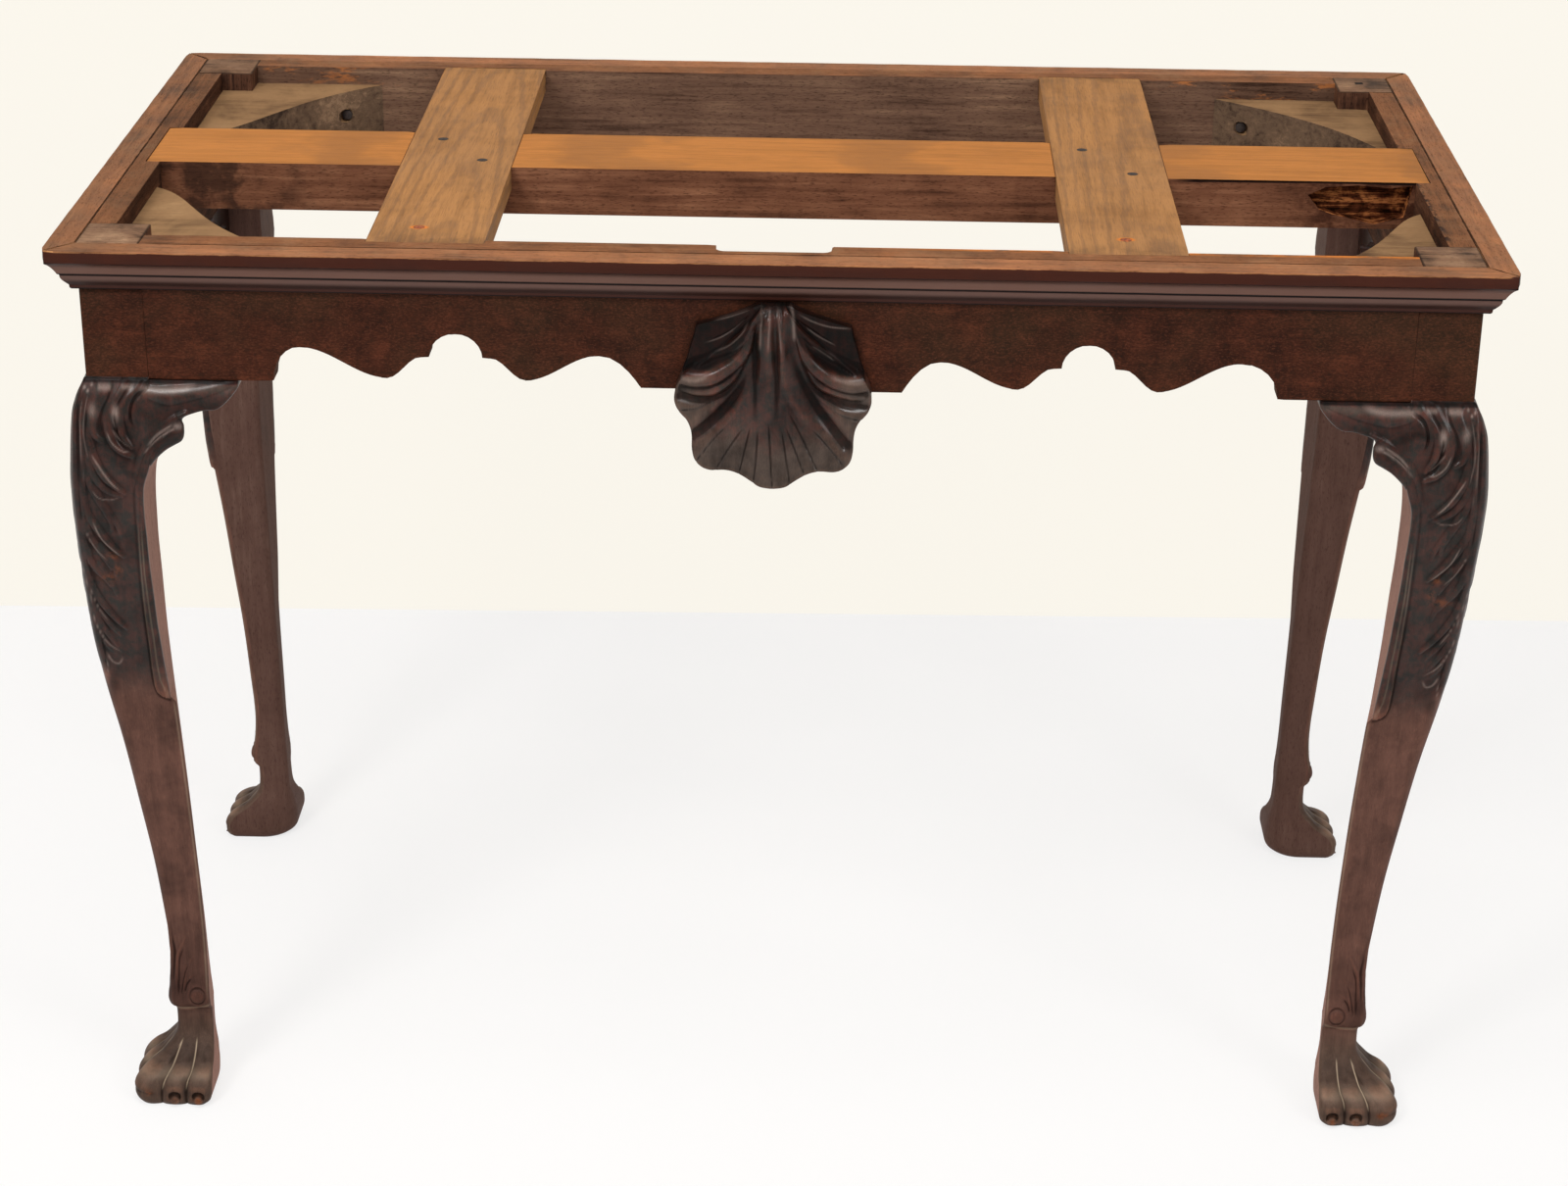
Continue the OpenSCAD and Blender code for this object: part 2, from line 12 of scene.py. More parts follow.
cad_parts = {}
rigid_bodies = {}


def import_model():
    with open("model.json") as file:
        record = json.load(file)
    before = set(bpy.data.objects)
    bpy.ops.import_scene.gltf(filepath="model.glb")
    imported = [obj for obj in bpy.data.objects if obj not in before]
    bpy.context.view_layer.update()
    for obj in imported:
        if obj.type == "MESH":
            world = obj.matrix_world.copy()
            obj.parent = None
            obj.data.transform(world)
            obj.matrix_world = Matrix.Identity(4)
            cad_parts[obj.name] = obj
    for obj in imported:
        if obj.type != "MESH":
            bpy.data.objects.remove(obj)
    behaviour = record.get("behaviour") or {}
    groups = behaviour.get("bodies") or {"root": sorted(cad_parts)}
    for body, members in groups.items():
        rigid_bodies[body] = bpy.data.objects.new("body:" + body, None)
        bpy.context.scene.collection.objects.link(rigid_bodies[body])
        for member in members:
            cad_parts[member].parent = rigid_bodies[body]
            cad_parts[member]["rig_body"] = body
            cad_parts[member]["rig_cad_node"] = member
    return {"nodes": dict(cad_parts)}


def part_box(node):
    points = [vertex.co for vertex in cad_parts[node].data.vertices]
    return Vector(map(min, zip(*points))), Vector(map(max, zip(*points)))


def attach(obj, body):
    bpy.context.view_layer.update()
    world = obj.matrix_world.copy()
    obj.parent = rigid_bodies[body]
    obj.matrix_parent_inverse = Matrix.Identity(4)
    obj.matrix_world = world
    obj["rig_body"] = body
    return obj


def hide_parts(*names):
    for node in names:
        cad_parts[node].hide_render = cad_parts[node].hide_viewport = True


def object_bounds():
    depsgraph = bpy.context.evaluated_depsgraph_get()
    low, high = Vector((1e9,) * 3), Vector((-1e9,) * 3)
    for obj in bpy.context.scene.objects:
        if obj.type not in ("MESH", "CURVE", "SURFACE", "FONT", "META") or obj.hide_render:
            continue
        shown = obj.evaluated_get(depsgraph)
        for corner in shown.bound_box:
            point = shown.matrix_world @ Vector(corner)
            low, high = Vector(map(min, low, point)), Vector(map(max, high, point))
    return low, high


bl_info = {
    "name": "Carved Side Table",
    "version": (1, 0, 0),
    "blender": (4, 5, 0),
    "location": "View3D > Sidebar > Side Table",
    "description": "Builds the carved side table's finished pieces around its packed frame",
    "category": "Object",
}

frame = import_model()
CAD_LOW, CAD_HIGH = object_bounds()
MM = 0.001

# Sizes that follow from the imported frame, in millimetres
TOP = CAD_HIGH.z / MM
POST = 49.0
RAIL_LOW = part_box("front_rail")[0].z / MM
HALF_LENGTH = -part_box("left_side_rail")[0].x / MM
HALF_DEPTH = -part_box("front_rail")[0].y / MM
RAIL_THICK = (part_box("front_rail")[1].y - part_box("front_rail")[0].y) / MM
MOULDING_OUT = -CAD_LOW.y / MM - HALF_DEPTH


# ---------- what a user may change ----------


class TableSizes(bpy.types.PropertyGroup):
    """Sizes of the finish on the table's pieces."""

    arris: FloatProperty(
        name="Arris", description="Width of the softened edges of rails and mouldings",
        default=0.0009, min=0.0, max=0.003, unit="LENGTH")
    wear: FloatProperty(
        name="Edge wear", description="Depth of the knocks and wear along the edges",
        default=0.0011, min=0.0, max=0.004, unit="LENGTH")
    carving: FloatProperty(
        name="Carving depth", description="Share of the full depth of the knee and shell carving",
        default=1.0, min=0.2, max=1.4, subtype="FACTOR")
    mitre_gap: FloatProperty(
        name="Mitre gap", description="Opening of the mitres at the rear corners",
        default=0.0012, min=0.0, max=0.004, unit="LENGTH")


class TableColours(bpy.types.PropertyGroup):
    """Main colours of the table's woods."""

    carved: FloatVectorProperty(
        name="Carved mahogany", description="Colour of the polished knees, ears and shell",
        subtype="COLOR", default=(0.0345, 0.0121, 0.0086), min=0.0, max=1.0)
    shank: FloatVectorProperty(
        name="Shanks", description="Colour of the legs under the carved knees",
        subtype="COLOR", default=(0.105, 0.049, 0.036), min=0.0, max=1.0)
    foot: FloatVectorProperty(
        name="Feet", description="Colour of the dusty feet",
        subtype="COLOR", default=(0.0918, 0.0564, 0.0408), min=0.0, max=1.0)
    frieze: FloatVectorProperty(
        name="Frieze mahogany", description="Colour of the rails' outer faces",
        subtype="COLOR", default=(0.047, 0.0125, 0.0055), min=0.0, max=1.0)
    moulding: FloatVectorProperty(
        name="Worn moulding", description="Colour of the moulding's upper face",
        subtype="COLOR", default=(0.29, 0.115, 0.047), min=0.0, max=1.0)
    pine: FloatVectorProperty(
        name="Pine", description="Colour of the stretcher's upper face",
        subtype="COLOR", default=(0.46, 0.18, 0.045), min=0.0, max=1.0)


def sizes():
    return bpy.context.scene.table_sizes


def colours():
    return bpy.context.scene.table_colours


# ---------- shader arithmetic ----------


class Value:
    """A shader socket that takes part in plain arithmetic."""

    def __init__(self, finish, socket):
        self.finish, self.socket = finish, socket

    def maths(self, operation, *others):
        return self.finish.node(
            "ShaderNodeMath", {"operation": operation}, [self, *others]).out()

    def __add__(self, other):
        return self.maths("ADD", other)

    def __sub__(self, other):
        return self.maths("SUBTRACT", other)

    def __mul__(self, other):
        return self.maths("MULTIPLY", other)

    def __rsub__(self, other):
        return self.finish.node(
            "ShaderNodeMath", {"operation": "SUBTRACT"}, [other, self]).out()

    __radd__ = __add__
    __rmul__ = __mul__

    def above(self, low, high):
        """0 under low, 1 over high, and smooth between them."""
        return self.finish.node(
            "ShaderNodeMapRange", {"interpolation_type": "SMOOTHSTEP", "clamp": True},
            [self, low, high, 0.0, 1.0]).out()

    def held(self):
        """The value kept between 0 and 1."""
        return self.finish.node("ShaderNodeClamp", {}, [self, 0.0, 1.0]).out()


class Node:
    """A shader node, which gives its outputs as values."""

    def __init__(self, finish, node):
        self.finish, self.node = finish, node

    def out(self, index=0):
        return Value(self.finish, self.node.outputs[index])


class Finish:
    """One material, built node by node on its surface shader."""

    def __init__(self, name):
        self.material = bpy.data.materials.new(name)
        self.material.use_nodes = True
        self.tree = self.material.node_tree
        self.shader = self.tree.nodes["Principled BSDF"]
        coordinates = self.tree.nodes.new("ShaderNodeTexCoord")
        self.place = Value(self, coordinates.outputs["Object"])

    def node(self, kind, settings, values):
        """Adds a node: its settings first, then the values or links of its first sockets."""
        node = self.tree.nodes.new(kind)
        for key, value in settings.items():
            setattr(node, key, value)
        pairs = values.items() if isinstance(values, dict) else enumerate(values)
        for key, value in pairs:
            if isinstance(value, Value):
                self.tree.links.new(value.socket, node.inputs[key])
            elif value is not None:
                node.inputs[key].default_value = value
        return Node(self, node)

    def stretched(self, scale, turn=(0, 0, 0), move=(0, 0, 0)):
        return self.node("ShaderNodeMapping", {}, {
            "Vector": self.place, "Scale": scale, "Rotation": turn, "Location": move}).out()

    def noise(self, where, scale, detail=4.0, rough=0.55, twist=0.0):
        return self.node("ShaderNodeTexNoise", {}, {
            "Vector": where, "Scale": scale, "Detail": detail, "Roughness": rough,
            "Distortion": twist}).out()

    def rings(self, where, spacing):
        """Growth rings about the Y axis, a little uneven."""
        return self.node(
            "ShaderNodeTexWave", {"wave_type": "RINGS", "rings_direction": "Y"},
            {"Vector": where, "Scale": 2 * math.pi / (20 * spacing), "Distortion": 1.6,
             "Detail": 3.0, "Detail Scale": 0.8}).out(1)

    def part(self, axis):
        """One coordinate of the place: 0 for X, 1 for Y, 2 for Z."""
        return self.node("ShaderNodeSeparateXYZ", {}, [self.place]).out(axis)

    def attribute(self, name):
        """A mark that the mesh carries, such as the share of dust."""
        return self.node("ShaderNodeAttribute", {"attribute_name": name}, []).out(2)

    def blend(self, share, first, second, mode="MIX"):
        node = self.node(
            "ShaderNodeMix", {"data_type": "RGBA", "blend_type": mode, "clamp_factor": True},
            {0: share, 6: colour_of(first), 7: colour_of(second)})
        return node.out(2)

    def surface(self, **values):
        """Sets the surface shader's sockets, to values or to links."""
        for key, value in values.items():
            socket = self.shader.inputs[key.replace("_", " ")]
            if isinstance(value, Value):
                self.tree.links.new(value.socket, socket)
            else:
                socket.default_value = value

    def bump(self, height, strength, distance):
        bumped = self.node("ShaderNodeBump", {}, {
            "Strength": strength, "Distance": distance, "Height": height}).out()
        self.tree.links.new(bumped.socket, self.shader.inputs["Normal"])


def colour_of(value):
    """A colour socket's value from a link, a hex code or three linear shares."""
    if isinstance(value, Value):
        return value
    if isinstance(value, str):
        parts = [int(value[i:i + 2], 16) / 255 for i in (0, 2, 4)]
        value = [p / 12.92 if p <= 0.04045 else ((p + 0.055) / 1.055) ** 2.4 for p in parts]
    return (*list(value)[:3], 1.0)


def scaled(colour, share):
    """A colour made darker or lighter by a share."""
    return tuple(c * share for c in list(colour)[:3])


# Stretch of a grain pattern along each axis
ALONG = {"x": (0.05, 1, 1), "y": (1, 0.05, 1), "z": (1, 1, 0.05)}


def wood(name, along, dark, mid, light, *, mottle=0.5, streak=0.5, pores=0.4, rough=0.5,
         gloss=0.3, relief=0.25, extra=None, mottle_size=22.0):
    """Old wood with its grain along one axis: streaks, blotches, pores and handling."""
    f = Finish(name)
    grain = f.stretched(ALONG[along])
    fine = f.noise(grain, 1500, 3, 0.6)
    broad = f.noise(grain, 210, 5, 0.62, 0.6)
    blotch = f.noise(f.place, mottle_size, 5, 0.6, 0.4)
    slow = f.noise(f.place, 4.0, 2, 0.5)
    tone = (broad - 0.5) * (streak * 2.2) + (blotch - 0.5) * (mottle * 2.4) + 0.5
    tone = tone + (slow - 0.5) * 0.5
    base = f.blend(tone.above(0.12, 0.55), dark, mid)
    base = f.blend(tone.above(0.5, 0.95), base, light)
    dash = f.noise(f.stretched([0.16 if s < 1 else 1 for s in ALONG[along]]), 1250, 2, 0.5)
    pore = dash.above(0.57, 0.66) * pores
    base = f.blend(pore, base, scaled(colour_of(dark), 0.35))
    base = f.blend((fine - 0.5).maths("ABSOLUTE") * 0.5, base, scaled(colour_of(light), 1.1))
    roughness = (fine - 0.5) * 0.25 + (blotch - 0.5) * 0.25 + pore * 0.2 + rough
    height = fine * 0.3 + broad * 0.4 - pore * 0.9
    if extra:
        base, roughness, height = extra(f, base, roughness, height)
    f.surface(Base_Color=base, Roughness=roughness.held(), Specular_IOR_Level=gloss)
    f.bump(height, relief, 0.0006)
    return f.material


def pine_wood(name, dark, light, *, centre, lean, spacing, grey=0.0, along="y",
              strength=0.5, dirt=1.6, extra=None):
    """Sawn pine with growth rings about a line under the board, which leans a few degrees."""
    f = Finish(name)
    lean = math.radians(lean)
    turn = (0, lean, math.radians(90)) if along == "x" else (lean, 0, 0)
    rings = f.rings(f.stretched((1, 1, 1), turn, centre), spacing)
    grain = f.stretched(ALONG[along])
    fine = f.noise(grain, 1100, 4, 0.65)
    broad = f.noise(grain, 150, 4, 0.6, 0.5)
    blotch = f.noise(f.place, 16, 5, 0.6, 0.3)
    late = rings.above(0.60, 0.98)
    base = f.blend(late * strength, light, dark)
    base = f.blend((broad - 0.42).held() * 1.4, base, scaled(colour_of(dark), 0.8))
    base = f.blend((blotch - 0.48).held() * dirt, base, scaled(colour_of(dark), 0.7))
    base = f.blend((fine - 0.5).held() * 1.4, base, scaled(colour_of(light), 1.18))
    base = f.blend((0.48 - fine).held() * 3.0, base, scaled(colour_of(dark), 0.8))
    if grey:
        base = f.blend(f.noise(f.place, 9, 4, 0.6).above(0.3, 0.75) * grey, base, "6b5d52")
    roughness = (fine - 0.5) * 0.3 + 0.66 - late * 0.08
    height = fine * 0.5 + late * 0.35
    if extra:
        base, roughness, height = extra(f, base, roughness, height)
    f.surface(Base_Color=base, Roughness=roughness.held(), Specular_IOR_Level=0.07)
    f.bump(height, 0.35, 0.0008)
    return f.material


# The carved wood's wax, dust and wear, and what its dark and light places multiply its
# colour by: painted shade in hollows and shaded places, painted light in lit places, and a
# pale colour for painted highlights
BLACK_WAX = (0.0125, 0.0105, 0.0085)
SHADE_IN_HOLLOWS, ON_RIDGES = (0.22, 0.20, 0.20), (1.9, 1.5, 1.3)
IN_SHADE, IN_LIGHT = (0.30, 0.27, 0.27), (4.6, 3.8, 3.7)
IN_PORES, ON_FIBRES = (0.4, 0.35, 0.35), (2.2, 2.0, 1.9)
DUST_AND_HIGHLIGHT_PALE, BARE_WOOD, HIGHLIGHT_AND_PUNCH_PALE = "b5a088", "7d4424", "cbb3a8"


def carved_wood(name, knee, shank, foot):
    """Carved mahogany: a dark polished knee over a duller shank and a dusty foot, with
    painted shade in the hollows and shaded places, painted light in lit places, painted
    highlights, rubbed edges, pale dust in the grooves and spots worn to bare wood."""
    f = Finish(name)
    level = f.part(2)
    grain = f.stretched(ALONG["z"])
    fine = f.noise(grain, 1300, 3, 0.6)
    broad = f.noise(grain, 160, 4, 0.6, 0.5)
    blotch = f.noise(f.place, 38, 5, 0.6, 0.5)
    slow = f.noise(f.place, 6.0, 2, 0.5)
    cut, dust, rub, shade, gleam = (
        f.attribute(key) for key in ("carving", "dust", "rub", "shade", "gleam"))
    dark, light = shade.held(), (0 - shade).held()
    hollow = (0 - cut).above(0.04, 0.62)
    ridge = cut.above(0.10, 0.75)
    dull = 1 - level.above(0.383, 0.430)
    cloud = f.noise(f.place, 130, 5, 0.7, 0.3).above(0.36, 0.62) * (1 - light)
    base = f.blend(cloud, BLACK_WAX, knee)
    base = f.blend(dull, base, shank)
    base = f.blend(1 - level.above(0.045, 0.095), base, foot)
    tone = broad + (blotch - 0.5) * (2.2 - dull) + (slow - 0.5) * 0.8 + 0.5
    base = f.blend(1.0, base, tone.maths("MAXIMUM", 0.25), "MULTIPLY")
    # painted shade in the hollows, and the ridges lighter from wear
    base = f.blend(hollow * 0.7, base, SHADE_IN_HOLLOWS, "MULTIPLY")
    base = f.blend(ridge * 0.45, base, ON_RIDGES, "MULTIPLY")
    base = f.blend(dark * 0.85, base, IN_SHADE, "MULTIPLY")
    base = f.blend(light * 0.8, base, IN_LIGHT, "MULTIPLY")
    pore = f.noise(f.stretched((1, 1, 0.01)), 1500, 2, 0.5).above(0.6, 0.68)
    base = f.blend(pore * 0.3, base, IN_PORES, "MULTIPLY")
    base = f.blend((fine - 0.52).held() * 1.2, base, ON_FIBRES, "MULTIPLY")
    # pale dust in the toes' grooves, and painted highlights on the cuff's lip, the knuckles and the
    # side corner
    base = f.blend((dust * (blotch * 0.7 + 0.3)).held(), base, DUST_AND_HIGHLIGHT_PALE)
    base = f.blend(rub * cloud, base, BARE_WOOD)
    # painted highlights along thin lines and glossy spots, and pale punched dots
    base = f.blend(gleam * (fine * 0.9 + 0.2), base, HIGHLIGHT_AND_PUNCH_PALE)
    roughness = dull * 0.2 + hollow * 0.3 + (blotch - 0.5) * 0.25 + (fine - 0.5) * 0.12 + 0.36
    coat = (1 - dull) * (1 - hollow * 0.85) * (blotch.above(0.25, 0.6) * 0.6 + 0.4)
    coat = coat * (1 - dark) * 0.34
    f.surface(Base_Color=base, Roughness=roughness.held(), Specular_IOR_Level=0.1,
              Coat_Weight=coat.held(), Coat_Roughness=0.2)
    f.bump(fine * 0.4 + blotch * 0.8 - pore * 0.6, 0.14, 0.0007)
    return f.material


# ---------- smooth curves and reliefs, worked in millimetres ----------


def smooth(stations, x, column=1):
    """One smooth curve through a column of stations, as the frame's own legs are drawn."""
    table = np.asarray(stations, float)
    at, value = table[:, 0], table[:, column]
    before = np.maximum(np.arange(len(at)) - 1, 0)
    after = np.minimum(np.arange(len(at)) + 1, len(at) - 1)
    slope = (value[after] - value[before]) / (at[after] - at[before])
    x = np.clip(x, at[0], at[-1])
    i = np.clip(np.searchsorted(at, x, side="right") - 1, 0, len(at) - 2)
    gap = at[i + 1] - at[i]
    t = (x - at[i]) / gap
    return ((2 * t ** 3 - 3 * t ** 2 + 1) * value[i] + (3 * t ** 2 - 2 * t ** 3) * value[i + 1]
            + (t ** 3 - 2 * t ** 2 + t) * gap * slope[i] + (t ** 3 - t ** 2) * gap * slope[i + 1])


def curve(points, count=36):
    """A smooth line through points, as count places evenly along it."""
    points = np.asarray(points, float)
    steps = np.concatenate([[0], np.cumsum(np.hypot(*np.diff(points[:, :2], axis=0).T))])
    at = np.linspace(0, steps[-1], count)
    return np.stack([smooth(np.stack([steps, points[:, k]], 1), at) for k in range(2)], 1)


def ease(x, low, high):
    """0 under low, 1 over high, and smooth between them."""
    t = np.clip((x - low) / (high - low), 0, 1)
    return t * t * (3 - 2 * t)


def nearest(x, z, line, reach):
    """Which places are within reach of a line, their distance to it and the share of the
    way along it."""
    near = ((x > line[:, 0].min() - reach) & (x < line[:, 0].max() + reach)
            & (z > line[:, 1].min() - reach) & (z < line[:, 1].max() + reach))
    px, pz = x[near][:, None], z[near][:, None]
    ax, az = line[:-1, 0], line[:-1, 1]
    bx, bz = line[1:, 0] - ax, line[1:, 1] - az
    t = np.clip(((px - ax) * bx + (pz - az) * bz) / (bx ** 2 + bz ** 2 + 1e-12), 0, 1)
    gap = np.hypot(px - ax - t * bx, pz - az - t * bz)
    best = gap.argmin(1)
    rows = np.arange(len(best))
    return near, gap[rows, best], (best + t[rows, best]) / (len(line) - 1)


CROWN = 0.42  # fall from a blade's middle to its edge, as a share of its half width
WALL = 1.7  # slope of a blade's sides


def carve(x, z, ground, blades, cuts):
    """Lays rounded blades over a ground and cuts veins into them."""
    height = ground.copy()
    for points, widths, tops in blades:
        line = curve(points)
        near, gap, share = nearest(x, z, line, max(widths) + 6)
        wide = np.interp(share, np.linspace(0, 1, len(widths)), widths)
        top = np.interp(share, np.linspace(0, 1, len(tops)), tops)
        crown = CROWN * wide
        inside = top - crown * np.minimum(gap / wide, 1) ** 2
        blade = inside - np.maximum(gap - wide, 0) * WALL
        height[near] = np.maximum(height[near], blade)
    for points, width, depth in cuts:
        near, gap, share = nearest(x, z, curve(points), 4 * width)
        fade = np.clip(np.minimum(share * 5, (1 - share) * 5), 0, 1)
        height[near] -= depth * fade * np.exp(-(gap / width) ** 2)
    return height


def softened(height, reach):
    """Average over a square of places, for telling ridges from hollows."""
    size = 2 * reach + 1
    for axis in (0, 1):
        padded = np.pad(height, [(reach + 1, reach) if a == axis else (0, 0) for a in (0, 1)],
                        mode="edge")
        total = np.cumsum(padded, axis)
        upper = np.take(total, np.arange(size, total.shape[axis]), axis)
        lower = np.take(total, np.arange(total.shape[axis] - size), axis)
        height = (upper - lower) / size
    return height


def sheet_faces(rows, count, first=0):
    """Faces between the rows of a grid of places."""
    return [(a, a + count, a + count + 1, a + 1) for k in range(rows - 1)
            for a in range(first + k * count, first + (k + 1) * count - 1)]


def closing_faces(loop, start):
    """Faces from a loop of places to its copy on the back, and the back itself."""
    size = len(loop)
    sides = [(loop[n], start + n, start + (n + 1) % size, loop[(n + 1) % size])
             for n in range(size)]
    return [*sides, tuple(range(start + size - 1, start - 1, -1))]


def rounding(inward, radius):
    """Fall of a rounded edge, by the distance inward from it."""
    return radius - np.sqrt(np.maximum(radius ** 2 - np.maximum(radius - inward, 0) ** 2, 0))


# ---------- the legs ----------

# [height, outer face out from the rail, inner corner in, outer corner radius, heel radius]
LEG = [
    [0, 0.5, 59, 15, 28], [4, 3.2, 62.5, 17, 28], [10, 4.6, 64.5, 18, 28],
    [17, 4, 65, 18, 27], [24, 0, 65, 17, 26], [30, -7.5, 64.5, 16, 24],
    [35.5, -15, 64, 14, 21], [41, -20.5, 63, 12, 18], [47, -26, 62, 10, 15],
    [54, -30, 61, 8, 11], [62, -31.5, 60.5, 6, 8], [76, -31.6, 60, 6, 4],
    [79, -31, 60, 7, 3], [82, -27.8, 59.8, 8, 3], [89, -26, 59.5, 10, 3],
    [98, -26.8, 59, 11, 3], [112, -29, 58.5, 8, 3], [130, -30.2, 58, 6, 3],
    [150, -29.6, 57.5, 6, 3], [165, -28.4, 57, 7, 3], [225, -23, 54.5, 8, 3],
    [285, -15.5, 52, 9, 3], [345, -7.5, 49, 10, 3], [400, 1.5, 46, 11, 3],
    [440, 7.5, 44, 12, 3], [485, 12, 42.5, 13, 3], [530, 15.5, 41, 14, 3],
    [580, 17.5, 42, 14, 3], [604, 16.5, 49, 13, 3], [640, 12.5, 49, 9, 3],
    [655, 8, 49, 6, 3], [668, 2, 49, 3, 3],
]
# How far the side corners stand in beyond the inner corner, by height
FRONT_FLARE = [
    [30, 0], [62, 2.5], [76, 3], [130, 4], [200, 6], [300, 8], [333, 8.5], [380, 9.5],
    [387, 9.5], [392, 5.4], [440, 4.6], [465, 3.7], [540, 2.6], [570, 1.3], [604, 0],
]
REAR_FLARE = [[246, 0], [292, 1.9], [342, 3.1], [390, 4.1], [450, 5], [500, 4.5], [604, 0]]
# Where each foot has moved to, along X and Y, and the height where the leg starts to lean
FOOT_SET = {
    "front_left": (-6, -4), "front_right": (-4.5, 4), "rear_left": (-13, -6),
    "rear_right": (3, -3),
}
SET_TOP = 600.0
SET_CURVE = 2.5  # how fast the lean grows towards the foot


def stations(x, table, column=1):
    """Straight lines through a column of stations."""
    table = np.asarray(table, float)
    return np.interp(x, table[:, 0], table[:, column])


def corner_line(z):
    """Place of the corner's middle, measured along a face from the rails' corner."""
    return -smooth(LEG, z, 1) + 0.215 * smooth(LEG, z, 3)


# Leaves of the knee: [places along the leaf], [half widths], [heights over the knee's outline]
KNEE_BLADES = [
    # the stem down the corner and its edging reeds
    ([(-5, 668), (-10.6, 640), (-13.8, 600), (-13.3, 550), (-10, 495)],
     [3.5, 6, 8, 6.5, 2.5], [0.2, 0.2, 0.0, 0.0, -0.6]),
    ([(-2.6, 668), (-2.6, 660), (-4.2, 613), (-5.4, 580), (-6.6, 550), (-8, 515)],
     [1.8, 2.0, 2.0, 1.8, 1.5, 0.9], [0.3, 0.2, 0.0, -0.2, -0.4, -0.6]),
    # first group, spreading from under the rail
    ([(8, 669), (11.5, 661), (8.5, 652), (5.2, 643), (4.2, 632), (7, 624), (12, 620)],
     [6, 5.5, 4.2, 3.2, 1.2], [0.4, 0.4, 0.2, -0.3, -0.9]),
    ([(32, 669), (28, 661), (22, 650), (18, 637), (20, 622), (27, 612.5), (35, 608.5)],
     [4.6, 4.6, 4.4, 4.2, 3.4, 1.0], [0.8, 0.8, 0.6, 0.3, 0.3, 0.0]),
    ([(43, 669), (40, 662), (31, 653), (26.5, 641), (28, 627), (35, 615.5)],
     [4.4, 4.2, 3.6, 3.0, 0.9], [0.6, 0.5, 0.2, 0.0, -0.4]),
    # second group
    ([(1, 636), (1.5, 622), (4.5, 607), (11, 593), (20, 583.5), (28, 577.5)],
     [2.6, 3.2, 3.4, 2.8, 0.9], [-1.4, -0.4, 0.0, 0.2, 0.0]),
    ([(-2, 624), (-1, 608), (3, 594), (10, 583), (18, 577.5), (26, 575)],
     [2.4, 3.0, 2.8, 2.0, 0.8], [-1.6, -0.7, -0.4, -0.4, -0.6]),
    ([(-3, 602), (0, 587), (6, 573), (12.5, 560), (16, 551), (16, 546)],
     [2.4, 2.6, 2.4, 1.8, 0.8], [-1.4, -0.7, -0.4, -0.4, -0.6]),
    ([(4, 583), (10, 570), (17, 557), (21.5, 547), (23, 541)],
     [2.0, 2.2, 2.0, 1.6, 0.8], [-1.6, -0.9, -0.7, -0.6, -0.8]),
    # third group
    ([(-5, 578), (-4, 563), (3, 549), (11.5, 536), (18, 528), (24, 522.5)],
     [2.4, 3.0, 3.0, 2.4, 0.9], [-1.2, -0.3, 0.1, 0.3, 0.1]),
    ([(-5, 560), (-3, 543), (3.5, 530), (10, 518.5), (14, 511)],
     [2.2, 2.6, 2.4, 1.8, 0.8], [-1.3, -0.5, -0.3, -0.3, -0.6]),
    ([(6, 533), (12, 523), (16.5, 514), (17, 506)],
     [1.8, 2.4, 2.6, 1.3], [-1.4, -0.8, -0.4, -0.8]),
    ([(-7, 540), (-5, 523), (1, 511), (7.5, 503), (12, 496)],
     [2.2, 2.6, 2.4, 1.8, 0.8], [-1.2, -0.3, -0.2, -0.3, -0.6]),
    ([(3, 516), (9, 505), (14, 495), (16.5, 487)],
     [1.6, 2.0, 1.8, 0.8], [-1.6, -0.9, -0.7, -0.9]),
    # fourth group
    ([(-8.5, 520), (-7.3, 505), (-1, 489), (6.5, 475.5), (14, 465.5), (22, 457)],
     [2.2, 2.8, 2.8, 2.2, 0.8], [-1.2, -0.2, 0.1, 0.2, 0.0]),
    ([(-8, 508), (-6.6, 493), (-4, 478), (0, 465), (6, 452), (14, 440)],
     [2.0, 2.4, 2.4, 2.0, 0.8], [-1.2, -0.4, -0.2, -0.2, -0.5]),
    ([(-3, 483), (3, 470), (10, 459), (17, 450)],
     [1.8, 2.2, 1.9, 0.8], [-1.4, -0.8, -0.7, -0.8]),
    # fifth group and the last leaf on the corner
    ([(-8.5, 497), (-7.2, 483), (-3, 463), (3.5, 445), (10.5, 435), (20, 429.5)],
     [2.0, 2.4, 2.4, 2.0, 0.7], [-1.2, -0.3, 0.0, -0.1, -0.5]),
    ([(-10, 500), (-7.6, 470), (-4.4, 440), (-1.6, 418), (0.4, 403)],
     [2.4, 3.6, 7.4, 5.2, 0.6], [0.0, 0.5, 0.9, 0.9, 0.2]),
    # lower edge of the wing, over the scroll
    ([(79, 644), (68, 638.5), (58, 631.5), (49.5, 622.5), (42.5, 610), (38, 596), (34.5, 580)],
     [2.2, 2.4, 2.4, 2.2, 1.8, 1.2], [0.7, 0.6, 0.4, -0.2, -1.0, -2.4]),
    # scroll lobe, and the rolled edge of the wing just under the rail
    ([(73, 629.5), (66, 624), (57, 617), (50, 608), (45.5, 597), (41.5, 582), (40.5, 562)],
     [8.2, 7.4, 6.6, 6.0, 5.2, 4.0, 1.4], [1.6, 1.4, 1.0, 0.7, 0.4, 0.2, 0.2]),
    ([(46, 660), (62, 658), (84, 660), (104, 664), (120, 668)], [7, 9, 8, 6, 3],
     [1.0, 1.8, 1.8, 1.4, 0.4]),
]

